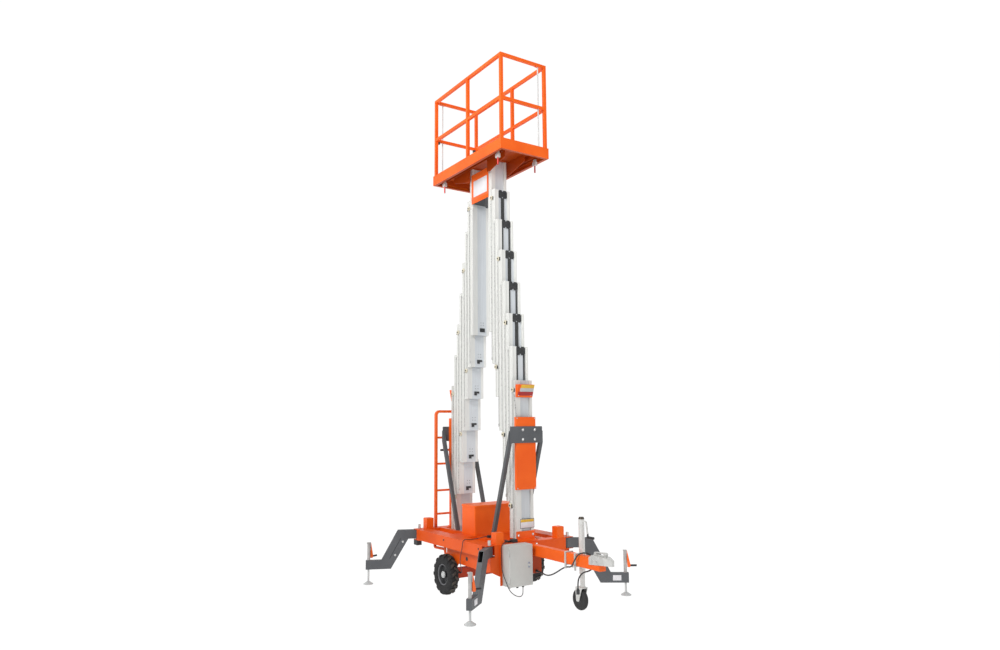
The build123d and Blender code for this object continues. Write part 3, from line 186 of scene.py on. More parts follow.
def paint(name, deep, bright, roughness=0.4, shade=()):
    """Sprayed paint with slow tone drift, orange peel and a little road dust near the ground.

    shade bounds a region of painted shade: axis, sign, and what the signed station has to be above."""
    look = Look(name, roughness, specular=PAINT_SPECULAR)
    tone = look.ramp(look.noise(3.0), deep, bright)
    dust = look.math("MULTIPLY", look.noise(26.0, 5.0), DUST_SHARE)
    low = look.math("LESS_THAN", look.axis("Z"), DUST_TOP_Z)
    mask = look.math("MULTIPLY", dust, look.math("MULTIPLY", low, DUST_STRENGTH))
    tone = look.mix(mask, tone, tuple(0.72 * share + 0.015 for share in bright))
    region = None
    for bound in shade:
        beyond = look.beyond(*bound)
        region = beyond if region is None else look.math("MULTIPLY", region, beyond)
    # Painted shade: inside the region the tone is darkened to part of the deep colour
    if region is not None:
        tone = look.mix(region, tone, tuple(PAINTED_SHADE_SHARE * share for share in deep))
    look.colour(tone)
    look.rough(look.noise(9.0), roughness - 0.07, roughness + 0.1)
    look.bump(look.noise(420.0, 2.0), 0.0003, 0.08)
    return look.material


def grainy(name, deep, bright, roughness, metallic, scale):
    """Metal, rubber or plastic with one tone drift, gloss drift and grain of its own scale."""
    look = Look(name, roughness, metallic)
    look.colour(look.ramp(look.noise(scale, 4.0), deep, bright, 0.25, 0.75))
    look.rough(look.noise(scale / 2), roughness - 0.1, roughness + 0.12)
    look.bump(look.noise(scale * 4), GRAIN_DEPTH, 0.2)
    return look.material


def printed(name, deep, bright, roughness=0.4):
    """Smooth label or plate in one colour."""
    return grainy(name, deep, bright, roughness, 0.0, 8.0)


ORANGE_DEEP = (0.83, 0.105, 0.005)
ORANGE = (0.92, 0.142, 0.010)
CHASSIS_DEEP = (0.69, 0.076, 0.003)
CHASSIS = (0.79, 0.100, 0.006)
# Lit and shaded copies of one alloy: the foot section's is darker, painted shade, and the upper sections' is
# brighter, painted light
FOOT_ALLOY_DEEP = (0.61, 0.61, 0.585)
FOOT_ALLOY = (0.75, 0.75, 0.72)
ALLOY_DEEP = (0.74, 0.745, 0.72)
ALLOY = (0.88, 0.885, 0.855)
ALLOY_SLOT = (0.26, 0.26, 0.245)
BLACK = (0.022, 0.023, 0.025)
BLACK_WORN = (0.05, 0.051, 0.053)
JACK_DEEP = (0.34, 0.33, 0.32)
JACK = (0.46, 0.45, 0.44)
CLAMP_RED = (0.6, 0.05, 0.05)
RIM_DEEP = (0.022, 0.023, 0.025)
RIM = (0.045, 0.046, 0.048)
RIM_LIP = (0.16, 0.16, 0.17)
HUB = (0.6, 0.6, 0.59)
NYLON = (0.74, 0.68, 0.52)

# Regions of painted shade: the deck's underside, and the chassis front below and beside the tow bar
PAINTED_SHADE_UNDER_DECK = (("X", 1, -0.794), ("X", -1, -0.794), ("Y", 1, -0.333), ("Y", -1, -0.333), ("Z", -1, -5.044))
PAINTED_SHADE_UNDER_TOW_BAR = (("X", 1, 0.800), ("Y", 1, -0.090), ("Z", -1, -0.488))

# Paints: deep and bright colour, roughness, region of painted shade
orange = paint("orange_paint", ORANGE_DEEP, ORANGE)
deck_orange_with_painted_shade = paint("deck_paint_painted_shade", ORANGE_DEEP, ORANGE, shade=PAINTED_SHADE_UNDER_DECK)
chassis_orange_with_painted_shade = paint("chassis_paint_painted_shade", CHASSIS_DEEP, CHASSIS, shade=PAINTED_SHADE_UNDER_TOW_BAR)
grey = paint("grey_paint", (0.088, 0.093, 0.100), (0.118, 0.124, 0.132), 0.48)
box_paint = paint("box_paint", (0.50, 0.51, 0.49), (0.59, 0.60, 0.575), 0.5)
shaded_orange = paint("shaded_orange", (0.30, 0.028, 0.008), (0.55, 0.06, 0.014), 0.5)

# Grainy finishes: deep and bright colour, roughness, metal, grain
zinc = grainy("zinc", (0.54, 0.54, 0.52), (0.66, 0.66, 0.64), 0.38, 0.4, 16.0)
smooth_zinc = grainy("smooth_zinc", (0.50, 0.51, 0.51), (0.60, 0.61, 0.60), 0.42, 0.1, 6.0)
chain_black = grainy("chain_black", (0.055, 0.057, 0.056), (0.125, 0.128, 0.124), 0.42, 0.3, 200.0)
steel = grainy("bright_steel", (0.52, 0.52, 0.52), (0.8, 0.8, 0.79), 0.28, 0.9, 120.0)
cream = grainy("cream_nylon", (0.62, 0.56, 0.42), (0.76, 0.71, 0.56), 0.45, 0.0, 60.0)
black_steel = grainy("black_steel", BLACK, (0.07, 0.074, 0.076), 0.42, 0.5, 200.0)
black_plastic = grainy("black_plastic", BLACK, BLACK_WORN, 0.55, 0.0, 300.0)
rubber = grainy("tyre_rubber", (0.016, 0.017, 0.018), (0.034, 0.034, 0.034), 0.75, 0.0, 140.0)
lamp_red = grainy("red_grip", (0.5, 0.02, 0.02), (0.66, 0.05, 0.04), 0.4, 0.0, 90.0)

white_label = printed("label_white", (0.66, 0.66, 0.68), (0.76, 0.755, 0.78))
yellow_label = printed("label_yellow", (0.66, 0.38, 0.02), (0.76, 0.45, 0.03))
grey_label = printed("label_grey", (0.42, 0.43, 0.44), (0.52, 0.53, 0.54), 0.45)
red_label = printed("label_red", (0.33, 0.008, 0.010), (0.41, 0.013, 0.014), 0.45)
lock_blue = printed("lock_blue", (0.20, 0.24, 0.33), (0.26, 0.30, 0.40))

LUG_TOP_RADIUS = 0.2105


def road_rubber(name):
    """Tyre rubber with brown road dust on the tops of the lugs."""
    look = Look(name, 0.75, specular=0.3)
    flat = look.vector("MULTIPLY", look.place, (1, 0, 1), "Vector")
    radius = look.vector("DISTANCE", flat, (-MIDDLE_X, 0, TYRE_Z), "Value")
    tops = look.math("GREATER_THAN", radius, LUG_TOP_RADIUS)
    casing = look.ramp(look.noise(140.0, 4.0), (0.012, 0.012, 0.013), (0.030, 0.030, 0.030))
    dusty = look.ramp(look.noise(60.0, 4.0), (0.040, 0.036, 0.032), (0.085, 0.075, 0.062))
    look.colour(look.mix(tops, casing, dusty))
    look.bump(look.noise(560.0), GRAIN_DEPTH, 0.2)
    return look.material


STREAK = (30, 30, 0.4)
GROOVE_HALF = 0.0625
GROOVE_COOLNESS = (0.84, 0.88, 0.95)
SIDE_Y = 0.1136
# Dark slots down the sides of a section: distance in from its face, half width
SIDE_SLOTS = ((0.0105, 0.0008), (0.0245, 0.0018), (0.0415, 0.0018), (0.0520, 0.0008))


def extruded_alloy(name, deep, bright):
    """Anodised profiles: drawn streaks along Z, a cooler groove down the middle of the wide faces, and
    dark slots down the sides of each section."""
    look = Look(name, 0.42, 0.3)
    streaks = look.noise(9.0, 4.0, STREAK)
    tone = look.ramp(streaks, deep, bright, 0.25, 0.75)
    cool = [tuple(share * c for share, c in zip(GROOVE_COOLNESS, shade)) for shade in (deep, bright)]
    in_groove = look.math("LESS_THAN", look.away(look.axis("Y"), GROOVE_Y), GROOVE_HALF)
    tone = look.mix(in_groove, tone, look.ramp(streaks, *cool, 0.25, 0.75))
    from_middle = look.away(look.axis("X"), -MIDDLE_X)
    inward = look.math("MODULO", look.math("SUBTRACT", MAST_FACE, from_middle), SECTION_STEP)
    slots = None
    for depth, half in SIDE_SLOTS:
        slot = look.math("LESS_THAN", look.away(inward, depth), half)
        slots = slot if slots is None else look.math("MAXIMUM", slots, slot)
    on_side = look.math("GREATER_THAN", look.away(look.axis("Y"), 0), SIDE_Y)
    slots = look.math("MULTIPLY", slots, on_side)
    look.colour(look.mix(slots, tone, ALLOY_SLOT))
    look.rough(look.noise(4.5, 3.0, STREAK), 0.34, 0.52)
    look.bump(look.math("SUBTRACT", 1, slots), 0.002, 0.6)
    return look.material


# Painted shade on the foot section and painted light on the upper sections, for light that is stronger higher
# up
shaded_foot_alloy = extruded_alloy("anodised_base_painted_shade", FOOT_ALLOY_DEEP, FOOT_ALLOY)
alloy = extruded_alloy("anodised", ALLOY_DEEP, ALLOY)


def part_look(name, deep, bright, masks, roughness=0.42, metallic=0.0):
    """One node's finish where regions of it have other colours: masks lists (centre, reach, colour)."""
    look = Look(name, roughness, metallic)
    tone = look.ramp(look.noise(40.0), deep, bright)
    for centre, reach, colour in masks:
        tone = look.mix(look.near(centre, reach), tone, colour)
    return look.grained(tone)


def dress(material, *nodes):
    for node in nodes:
        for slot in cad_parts[node].material_slots:
            slot.material = material


# Mesh helpers


def turn_to(direction):
    """Turn that carries Z onto a direction."""
    return Vector(direction).normalized().to_track_quat("Z", "Y").to_matrix()


def axes(x, y, z):
    """Turn that carries X, Y and Z onto three directions."""
    return Matrix((x, y, z)).transposed()


def ring(mesh, centre, turn, radius, segments, height=0.0):
    verts = []
    for k in range(segments):
        angle = 2 * pi * k / segments
        local = Vector((radius * cos(angle), radius * sin(angle), height))
        verts.append(mesh.verts.new(Vector(centre) + turn @ local))
    return verts


def skin(mesh, rings):
    """Faces between successive rings, capped at both ends."""
    count = len(rings[0])
    for low, high in zip(rings, rings[1:]):
        for k in range(count):
            after = (k + 1) % count
            mesh.faces.new((low[k], low[after], high[after], high[k]))
    mesh.faces.new(list(reversed(rings[0])))
    mesh.faces.new(rings[-1])


def lathe(mesh, profile, segments, centre, toward):
    """Rings of (radius, height) from a centre along a direction."""
    turn = turn_to(toward)
    skin(mesh, [ring(mesh, centre, turn, radius, segments, height) for radius, height in profile])


# Radius and height of each ring, as shares of the fixing's size
WASHER = ((1.45, 0), (1.45, 0.18), (1.35, 0.26))
HEXAGON = ((1, 0), (1, 0.55), (0.82, 0.75))
DOME = ((1, 0), (1, 0.2), (0.8, 0.5), (0.35, 0.55), (0.3, 0.3))


def scaled(profile, size):
    return [(size * radius, size * height) for radius, height in profile]


def bolt(mesh, centre, toward, size):
    """Washer and chamfered hexagon head; size is the head's corner radius."""
    lathe(mesh, scaled(WASHER, size), 16, centre, toward)
    top = Vector(centre) + Vector(toward).normalized() * WASHER[-1][1] * size
    lathe(mesh, scaled(HEXAGON, size), 6, top, toward)


def screw(mesh, centre, toward, size):
    """Low domed screw head with a sunk centre."""
    lathe(mesh, scaled(DOME, size), 14, centre, toward)


def slab(mesh, centre, size, bevel, turn=None):
    """Box with bevelled edges, its middle at a centre."""
    made = bmesh.ops.create_cube(mesh, size=1.0)
    matrix = Matrix.Diagonal((*size, 1))
    if turn is not None:
        matrix = turn.to_4x4() @ matrix
    bmesh.ops.transform(mesh, matrix=Matrix.Translation(centre) @ matrix, verts=made["verts"])
    edges = {edge for vert in made["verts"] for edge in vert.link_edges}
    bmesh.ops.bevel(mesh, geom=list(edges), offset=bevel, segments=2, affect="EDGES", profile=0.5)


def run(mesh, points, radius, segments=8):
    """Round bar along points."""
    places = [Vector(p) for p in points]
    rings = []
    for k, place in enumerate(places):
        before = places[max(k - 1, 0)]
        after = places[min(k + 1, len(places) - 1)]
        rings.append(ring(mesh, place, turn_to(after - before), radius, segments))
    skin(mesh, rings)


WELD_PITCH = 0.006
WELD_WAIST = 0.78


def weld(mesh, start, end, radius):
    """Bead of small ripples along a straight seam."""
    count = max(2, int((end - start).length / WELD_PITCH))
    turn = turn_to(end - start)
    rings = []
    for k in range(2 * count + 1):
        size = radius * (1.0 if k % 2 else WELD_WAIST)
        rings.append(ring(mesh, start.lerp(end, k / (2 * count)), turn, size, 6))
    skin(mesh, rings)


def square_weld(mesh, x, y, z, half, radius):
    """Bead round the foot of a square tube."""
    corners = [at(x + dx * half, y + dy * half, z) for dx, dy in ((1, 1), (-1, 1), (-1, -1), (1, -1))]
    for start, end in zip(corners, corners[1:] + corners[:1]):
        weld(mesh, start, end, radius)


def keep(mesh, name, body, material, smooth=35.0):
    """Turns built mesh code into one piece that rides on a body."""
    bmesh.ops.recalc_face_normals(mesh, faces=mesh.faces[:])
    data = bpy.data.meshes.new(name)
    mesh.to_mesh(data)
    mesh.free()
    piece = bpy.data.objects.new(name, data)
    bpy.context.collection.objects.link(piece)
    piece.data.materials.append(material)
    for polygon in piece.data.polygons:
        polygon.use_smooth = True
    piece.data.set_sharp_from_angle(angle=radians(smooth))
    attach(piece, body)
    return piece


def keep_slabs(name, body, material, slot, *slabs):
    """One piece made of slabs, each a centre, a size, a bevel and, where it is turned, its turn."""
    mesh = bmesh.new()
    for row in slabs:
        slab(mesh, *row)
    keep(mesh, name, body, material)


# Camera, fitted to the photograph
FOCAL_PX = 734.055
PHOTO_WIDTH = 1000
YAW = radians(56.44)
PITCH = radians(7.648)
ROLL = radians(-0.466)
camera_data = bpy.data.cameras.new("camera")
camera = bpy.data.objects.new("camera", camera_data)
bpy.context.collection.objects.link(camera)
bpy.context.scene.camera = camera
camera_data.sensor_width = 36.0
camera_data.sensor_fit = "HORIZONTAL"
camera_data.lens = FOCAL_PX * camera_data.sensor_width / PHOTO_WIDTH
camera_data.clip_end = 200.0
ahead = Vector((-sin(YAW) * cos(PITCH), cos(YAW) * cos(PITCH), sin(PITCH)))
level_right = Vector((cos(YAW), sin(YAW), 0))
level_up = level_right.cross(ahead)
right = level_right * cos(ROLL) + level_up * sin(ROLL)
above = level_up * cos(ROLL) - level_right * sin(ROLL)
camera.matrix_world = Matrix.Translation(at(7.379, -4.734, 1.874)) @ axes(right, above, -ahead).to_4x4()


# Cords


def cord_curve(name, points, diameter):
    data = bpy.data.curves.new(name, "CURVE")
    data.dimensions = "3D"
    data.bevel_depth = diameter / 2
    data.bevel_resolution = 4
    data.resolution_u = 6
    spline = data.splines.new("NURBS")
    spline.points.add(len(points) - 1)
    for point, place in zip(spline.points, points):
        point.co = (*at(*place), 1)
    spline.order_u = 3
    spline.use_endpoint_u = True
    piece = bpy.data.objects.new(name, data)
    bpy.context.collection.objects.link(piece)
    piece.data.materials.append(black_plastic)
    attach(piece, "chassis")
    return piece


box_route = (
    (0.760, -0.220, 0.645), (0.760, -0.258, 0.645), (0.774, -0.300, 0.637), (0.806, -0.330, 0.638),
    (0.838, -0.370, 0.646), (0.850, -0.406, 0.612), (0.844, -0.404, 0.552), (0.842, -0.401, 0.476),
    (0.848, -0.404, 0.404), (0.880, -0.411, 0.346), (0.930, -0.419, 0.298), (0.974, -0.421, 0.246),
    (0.988, -0.400, 0.192), (0.978, -0.344, 0.146), (0.954, -0.276, 0.116), (0.924, -0.216, 0.104),
    (0.903, -0.181, 0.120), (0.900, -0.176, 0.152), (0.900, -0.176, 0.190),
)
box_cable = cord_curve("box_lead", box_route, 0.008)
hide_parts("box_cable")

axle_route = (
    (0.338, -0.249, 0.640), (0.338, -0.296, 0.640), (0.343, -0.358, 0.631), (0.352, -0.432, 0.631),
    (0.366, -0.502, 0.631), (0.381, -0.560, 0.644), (0.388, -0.597, 0.630), (0.376, -0.596, 0.584),
    (0.346, -0.590, 0.514), (0.308, -0.582, 0.446), (0.268, -0.562, 0.384), (0.234, -0.530, 0.332),
    (0.190, -0.498, 0.288), (0.144, -0.466, 0.252), (0.110, -0.445, 0.236), (0.0743, -0.445, 0.236),
)
axle_cable = cord_curve("axle_lead", axle_route, 0.008)
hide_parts("axle_cable")

hose_route = (
    (0.8473, 0.062, 0.312), (0.905, 0.062, 0.312), (0.985, 0.042, 0.303), (1.085, 0.014, 0.312),
    (1.190, -0.008, 0.342), (1.290, -0.018, 0.388), (1.380, -0.022, 0.436), (1.460, -0.030, 0.462),
    (1.530, -0.050, 0.470), (1.592, -0.072, 0.500), (1.636, -0.080, 0.552), (1.664, -0.062, 0.610),
    (1.692, -0.004, 0.628), (1.722, 0.054, 0.610), (1.744, 0.078, 0.552), (1.752, 0.066, 0.490),
    (1.744, 0.010, 0.458), (1.722, -0.046, 0.452), (1.700, -0.080, 0.408), (1.690, -0.088, 0.352),
    (1.690, -0.088, 0.300),
)
trailer_hose = cord_curve("trailer_lead", hose_route, 0.014)
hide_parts("trailer_hose")

# Finishes of the solids
dress(orange, "deck_sockets", "tow_bar", "mast_covers", "power_box", "guardrail", "gate")
dress(chassis_orange_with_painted_shade, "chassis_frame")
dress(deck_orange_with_painted_shade, "deck")
dress(shaded_orange, "axle_beam")
dress(shaded_foot_alloy, "mast_base")
dress(alloy, *(f"mast_section_{number}" for number in range(2, SECTIONS + 1)))
dress(box_paint, "control_box", "control_door")
dress(zinc, "tow_coupling", "jockey_clamps", "jockey_leg", "jockey_fork", "outrigger_pins")
dress(smooth_zinc, "tie_rods")
dress(black_plastic, "rear_lamps", "gate_catches", "cable_glands", "box_cable", "axle_cable",
      "trailer_hose", "trailer_plug")
dress(grey, "mast_braces")
dress(rubber, "tyre_near", "tyre_far", "jockey_wheel")

# Outriggers, the front ones first: name, X side, Y side, degrees outward, reach, height of the low tube's
# middle, crank's way in degrees
OUTRIGGERS = (
    ("front_near", 1, -1, 49.4, 0.640, 0.188, 93),
    ("front_far", 1, 1, 54.2, 0.630, 0.188, 57),
    ("rear_near", -1, -1, 66.0, 0.598, 0.222, 109),
    ("rear_far", -1, 1, 66.0, 0.598, 0.222, -66),
)
PIN_X = 0.785
PIN_Y = 0.515
JACK_RADIUS = 0.0186
GRIP_OUT = 0.0975
GRIP_Z = 0.314
GRIP_REACH = 0.0425


def arm_frame(side_x, side_y, angle):
    """Foot of an arm's pin on the floor, the arm's way out and the way square to it that faces forward."""
    along = Vector((side_x * cos(radians(angle)), side_y * sin(radians(angle)), 0))
    across = along.cross(UP)
    return at(side_x * PIN_X, side_y * PIN_Y, 0), along, across if across.x > 0 else -across


for name, side_x, side_y, angle, reach, low_z, crank_turn in OUTRIGGERS:
    pin, along, facing = arm_frame(side_x, side_y, angle)
    jack = pin + along * reach
    crank_along = Vector((cos(radians(crank_turn)), sin(radians(crank_turn)), 0))
    look = Look(f"jack_{name}", 0.42)
    tone = look.ramp(look.noise(12.0), JACK_DEEP, JACK)
    out = look.vector("DOT_PRODUCT", look.place, crank_along, "Value")
    handle = look.math("GREATER_THAN", out, jack.dot(crank_along) + JACK_RADIUS)
    tone = look.mix(handle, tone, ORANGE)
    tone = look.mix(look.near(jack + crank_along * GRIP_OUT + UP * GRIP_Z, GRIP_REACH), tone, BLACK)
    dress(look.grained(tone), f"outrigger_jack_{name}")
    dress(grey, f"outrigger_arm_{name}")
    dress(smooth_zinc, f"outrigger_foot_{name}")

# Solids with more than one colour: centre, reach and colour of each region
JOCKEY_PARTS = (
    (at(1.545, JOCKEY_Y, 0.945), 0.038, (0.06, 0.045, 0.03)),
    (at(1.680, JOCKEY_Y, 0.755), 0.052, BLACK),
)
LADDER_PARTS = ((at(-0.806, -0.166, 1.551), 0.056, BLACK),)
CLAMP_PARTS = tuple(
    (at(x, y, 4.862), 0.043, CLAMP_RED) for x in (0.6225, -0.6225) for y in (0.2625, -0.2625)
)
tube_look = part_look("jockey_tube_finish", (0.62, 0.62, 0.6), (0.74, 0.74, 0.72), JOCKEY_PARTS, 0.4, 0.2)
ladder_look = part_look("ladder_finish", ORANGE_DEEP, ORANGE, LADDER_PARTS)
clamp_look = part_look("clamp_finish", (0.6, 0.6, 0.58), (0.78, 0.78, 0.76), CLAMP_PARTS, 0.38, 0.4)
dress(tube_look, "jockey_tube")
dress(ladder_look, "ladder")
dress(clamp_look, "deck_clamps")

# Head box: an orange panel in front, black below and behind it; the black is partly a dark block and partly
# painted shade under and inside the box
PANEL_FOOT_Z = 4.6247
PANEL_BACK_Y = -0.119
BLOCK_END_X = 0.182
look = Look("head_box_paint_and_painted_shade", 0.42, coat=0.2)
tone = look.ramp(look.noise(3.0), ORANGE_DEEP, ORANGE)
below = look.math("LESS_THAN", look.axis("Z"), PANEL_FOOT_Z)
behind = look.math("GREATER_THAN", look.axis("Y"), PANEL_BACK_Y)
inside = look.math("LESS_THAN", look.axis("X"), BLOCK_END_X - MIDDLE_X)
# Painted shade: the black below the panel's foot and behind it is partly a real dark block and partly shade
# under the head box
block = look.math("MAXIMUM", below, look.math("MULTIPLY", behind, inside))
look.colour(look.mix(block, tone, BLACK))
dress(look.material, "head_box")

# Rims: a dark dish inside a paler lip, with a bright hub
DISH_Y = 0.600
DISH_REACH = 0.101
HUB_Y = 0.621
HUB_REACH = 0.037
for side_name, side in SIDES:
    look = Look(f"rim_{side_name}_finish", 0.45, 0.3)
    tone = look.ramp(look.noise(60.0), RIM_DEEP, RIM)
    tone = look.mix(look.near(at(0, side * DISH_Y, TYRE_Z), DISH_REACH), RIM_LIP, tone)
    tone = look.mix(look.near(at(0, side * HUB_Y, TYRE_Z), HUB_REACH), tone, HUB)
    dress(look.grained(tone, 300.0, 0.25), f"rim_{side_name}")

# Road tyres: rounded casing with two staggered rows of slanted lugs that wrap over the shoulders
# Casing stations: distance from the middle, radius
CASING = (
    (-0.044, 0.1125), (-0.053, 0.120), (-0.0555, 0.134), (-0.056, 0.152), (-0.0545, 0.172), (-0.050, 0.188),
    (-0.042, 0.199), (-0.028, 0.2045), (0.0, 0.206), (0.028, 0.2045), (0.042, 0.199), (0.050, 0.188),
    (0.0545, 0.172), (0.056, 0.152), (0.0555, 0.134), (0.053, 0.120), (0.044, 0.1125),
)
# Lug stations: distance from the middle, top radius, root radius, half width, slant along the tread
LUG_STATIONS = (
    (-0.006, 0.2165, 0.200, 0.014, 0.000),
    (0.012, 0.217, 0.200, 0.016, 0.010),
    (0.032, 0.2145, 0.198, 0.018, 0.022),
    (0.046, 0.208, 0.190, 0.019, 0.030),
    (0.0545, 0.196, 0.180, 0.018, 0.034),
    (0.0555, 0.178, 0.168, 0.015, 0.036),
)
LUGS = 14
LUG_ROOT_SHARE = 1.15
LUG_TOP_SHARE = 0.85
TREAD_RADIUS = 0.2
TYRE_STEPS = 112
WHEEL_NUTS = 5
NUT_CIRCLE = 0.062
HUB_CAP = (
    (0.036, 0), (0.036, 0.006), (0.033, 0.009), (0.024, 0.0095),
    (0.022, 0.016), (0.012, 0.020), (0.004, 0.021),
)
VALVE = ((0.0045, 0), (0.0045, 0.016), (0.0035, 0.018))


def on_tyre(mesh, middle, offset, radius, angle):
    return mesh.verts.new(middle + Vector((radius * sin(angle), offset, radius * cos(angle))))


def add_casing(mesh, middle):
    rings = []
    for step in range(TYRE_STEPS):
        angle = 2 * pi * step / TYRE_STEPS
        rings.append([on_tyre(mesh, middle, offset, radius, angle) for offset, radius in CASING])
    for step, low in enumerate(rings):
        high = rings[(step + 1) % TYRE_STEPS]
        for k in range(len(CASING)):
            after = (k + 1) % len(CASING)
            mesh.faces.new((low[k], low[after], high[after], high[k]))


def add_lug(mesh, middle, row, start):
    """One lug from the tread's middle over a shoulder; row is 1 or -1, start its angle."""
    rings = []
    for offset, top, root, half, slant in LUG_STATIONS:
        foot = half * LUG_ROOT_SHARE
        crest = half * LUG_TOP_SHARE
        corners = ((root, -foot), (top, -crest), (top, crest), (root, foot))
        rings.append([
            on_tyre(mesh, middle, row * offset, radius, start + (slant + along) / TREAD_RADIUS)
            for radius, along in corners
        ])
    skin(mesh, rings)


for side_name, side in SIDES:
    body = f"wheel_{side_name}"
    middle = at(0, side * TYRE_Y, TYRE_Z)
    outward = (0, side, 0)
    tyre = bmesh.new()
    add_casing(tyre, middle)
    for row in (1, -1):
        for lug in range(LUGS):
            add_lug(tyre, middle, row, 2 * pi * (lug + (row + 1) / 4) / LUGS)
    tread_rubber = road_rubber(f"road_rubber_{side_name}")
    tread = keep(tyre, f"tyre_tread_{side_name}", body, tread_rubber, 30)
    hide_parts(f"tyre_{side_name}")

    hub_parts = bmesh.new()
    wheel_nuts = bmesh.new()
    for k in range(WHEEL_NUTS):
        angle = 2 * pi * k / WHEEL_NUTS
        place = at(NUT_CIRCLE * cos(angle), side * (TYRE_Y + 0.008), TYRE_Z + NUT_CIRCLE * sin(angle))
        bolt(wheel_nuts, place, outward, 0.009)
    lathe(hub_parts, HUB_CAP, 28, at(0, side * (TYRE_Y + 0.034), TYRE_Z), outward)
    lathe(hub_parts, VALVE, 10, at(0.074, side * (TYRE_Y + 0.006), TYRE_Z + 0.028), outward)
    keep(hub_parts, f"wheel_hub_{side_name}", body, smooth_zinc)
    keep(wheel_nuts, f"wheel_nuts_{side_name}", body, black_steel)

# Mast sections: face, foot and head of each, as in the solids
SECTION_LOW = 0.262
SECTION_RAISE = 0.383
SECTION_LENGTH = 2.088


def section(number):
    face = MAST_FACE - SECTION_STEP * (number - 1)
    low = SECTION_LOW + SECTION_RAISE * (number - 1)
    body = "chassis" if number == 1 else f"stage_{number}"
    return face, low, low + SECTION_LENGTH, body


CHAIN_PITCH = 0.019
CHAIN_FOOT = 0.102
CHAIN_LENGTH = 1.893
PLATE_DEPTH = 0.0085
PLATE_LENGTH = 0.0150
PLATE_THICK = 0.0024
# Corners as shares of the plate's depth and length
PLATE_OUTLINE = (
    (-0.5, -0.25), (-0.25, -0.5), (0.25, -0.5), (0.5, -0.25),
    (0.5, 0.25), (0.25, 0.5), (-0.25, 0.5), (-0.5, 0.25),
)
# Leaf chains of odd and of even sections: where the chains are, then the plates of alternate links
ODD_CHAINS = ((0.0,), ((-0.016, -0.008, 0.0, 0.008, 0.016), (-0.012, -0.004, 0.004, 0.012)))
EVEN_CHAINS = ((-0.046, 0.046), ((-0.0055, 0.0055), (-0.0018, 0.0018)))


def chain_plate(mesh, centre):
    """One link plate seen on edge: long in Z, thin in Y, with rounded ends."""
    rings = []
    for edge in (-PLATE_THICK / 2, PLATE_THICK / 2):
        places = [centre + Vector((x * PLATE_DEPTH, edge, z * PLATE_LENGTH)) for x, z in PLATE_OUTLINE]
        rings.append([mesh.verts.new(place) for place in places])
    skin(mesh, rings)


for number in range(2, SECTIONS):
    face, low, top, body = section(number)
    chains, rows = ODD_CHAINS if number % 2 else EVEN_CHAINS
    links = bmesh.new()
    for side in (1, -1):
        for chain in chains:
            for k in range(int(CHAIN_LENGTH / (CHAIN_PITCH / 2))):
                z = low + CHAIN_FOOT + k * CHAIN_PITCH / 2
                for across in rows[k % 2]:
                    chain_plate(links, at(side * (face - PLATE_DEPTH), GROOVE_Y + chain + across, z))
    keep(links, f"chain_links_{number}", body, chain_black, 25)

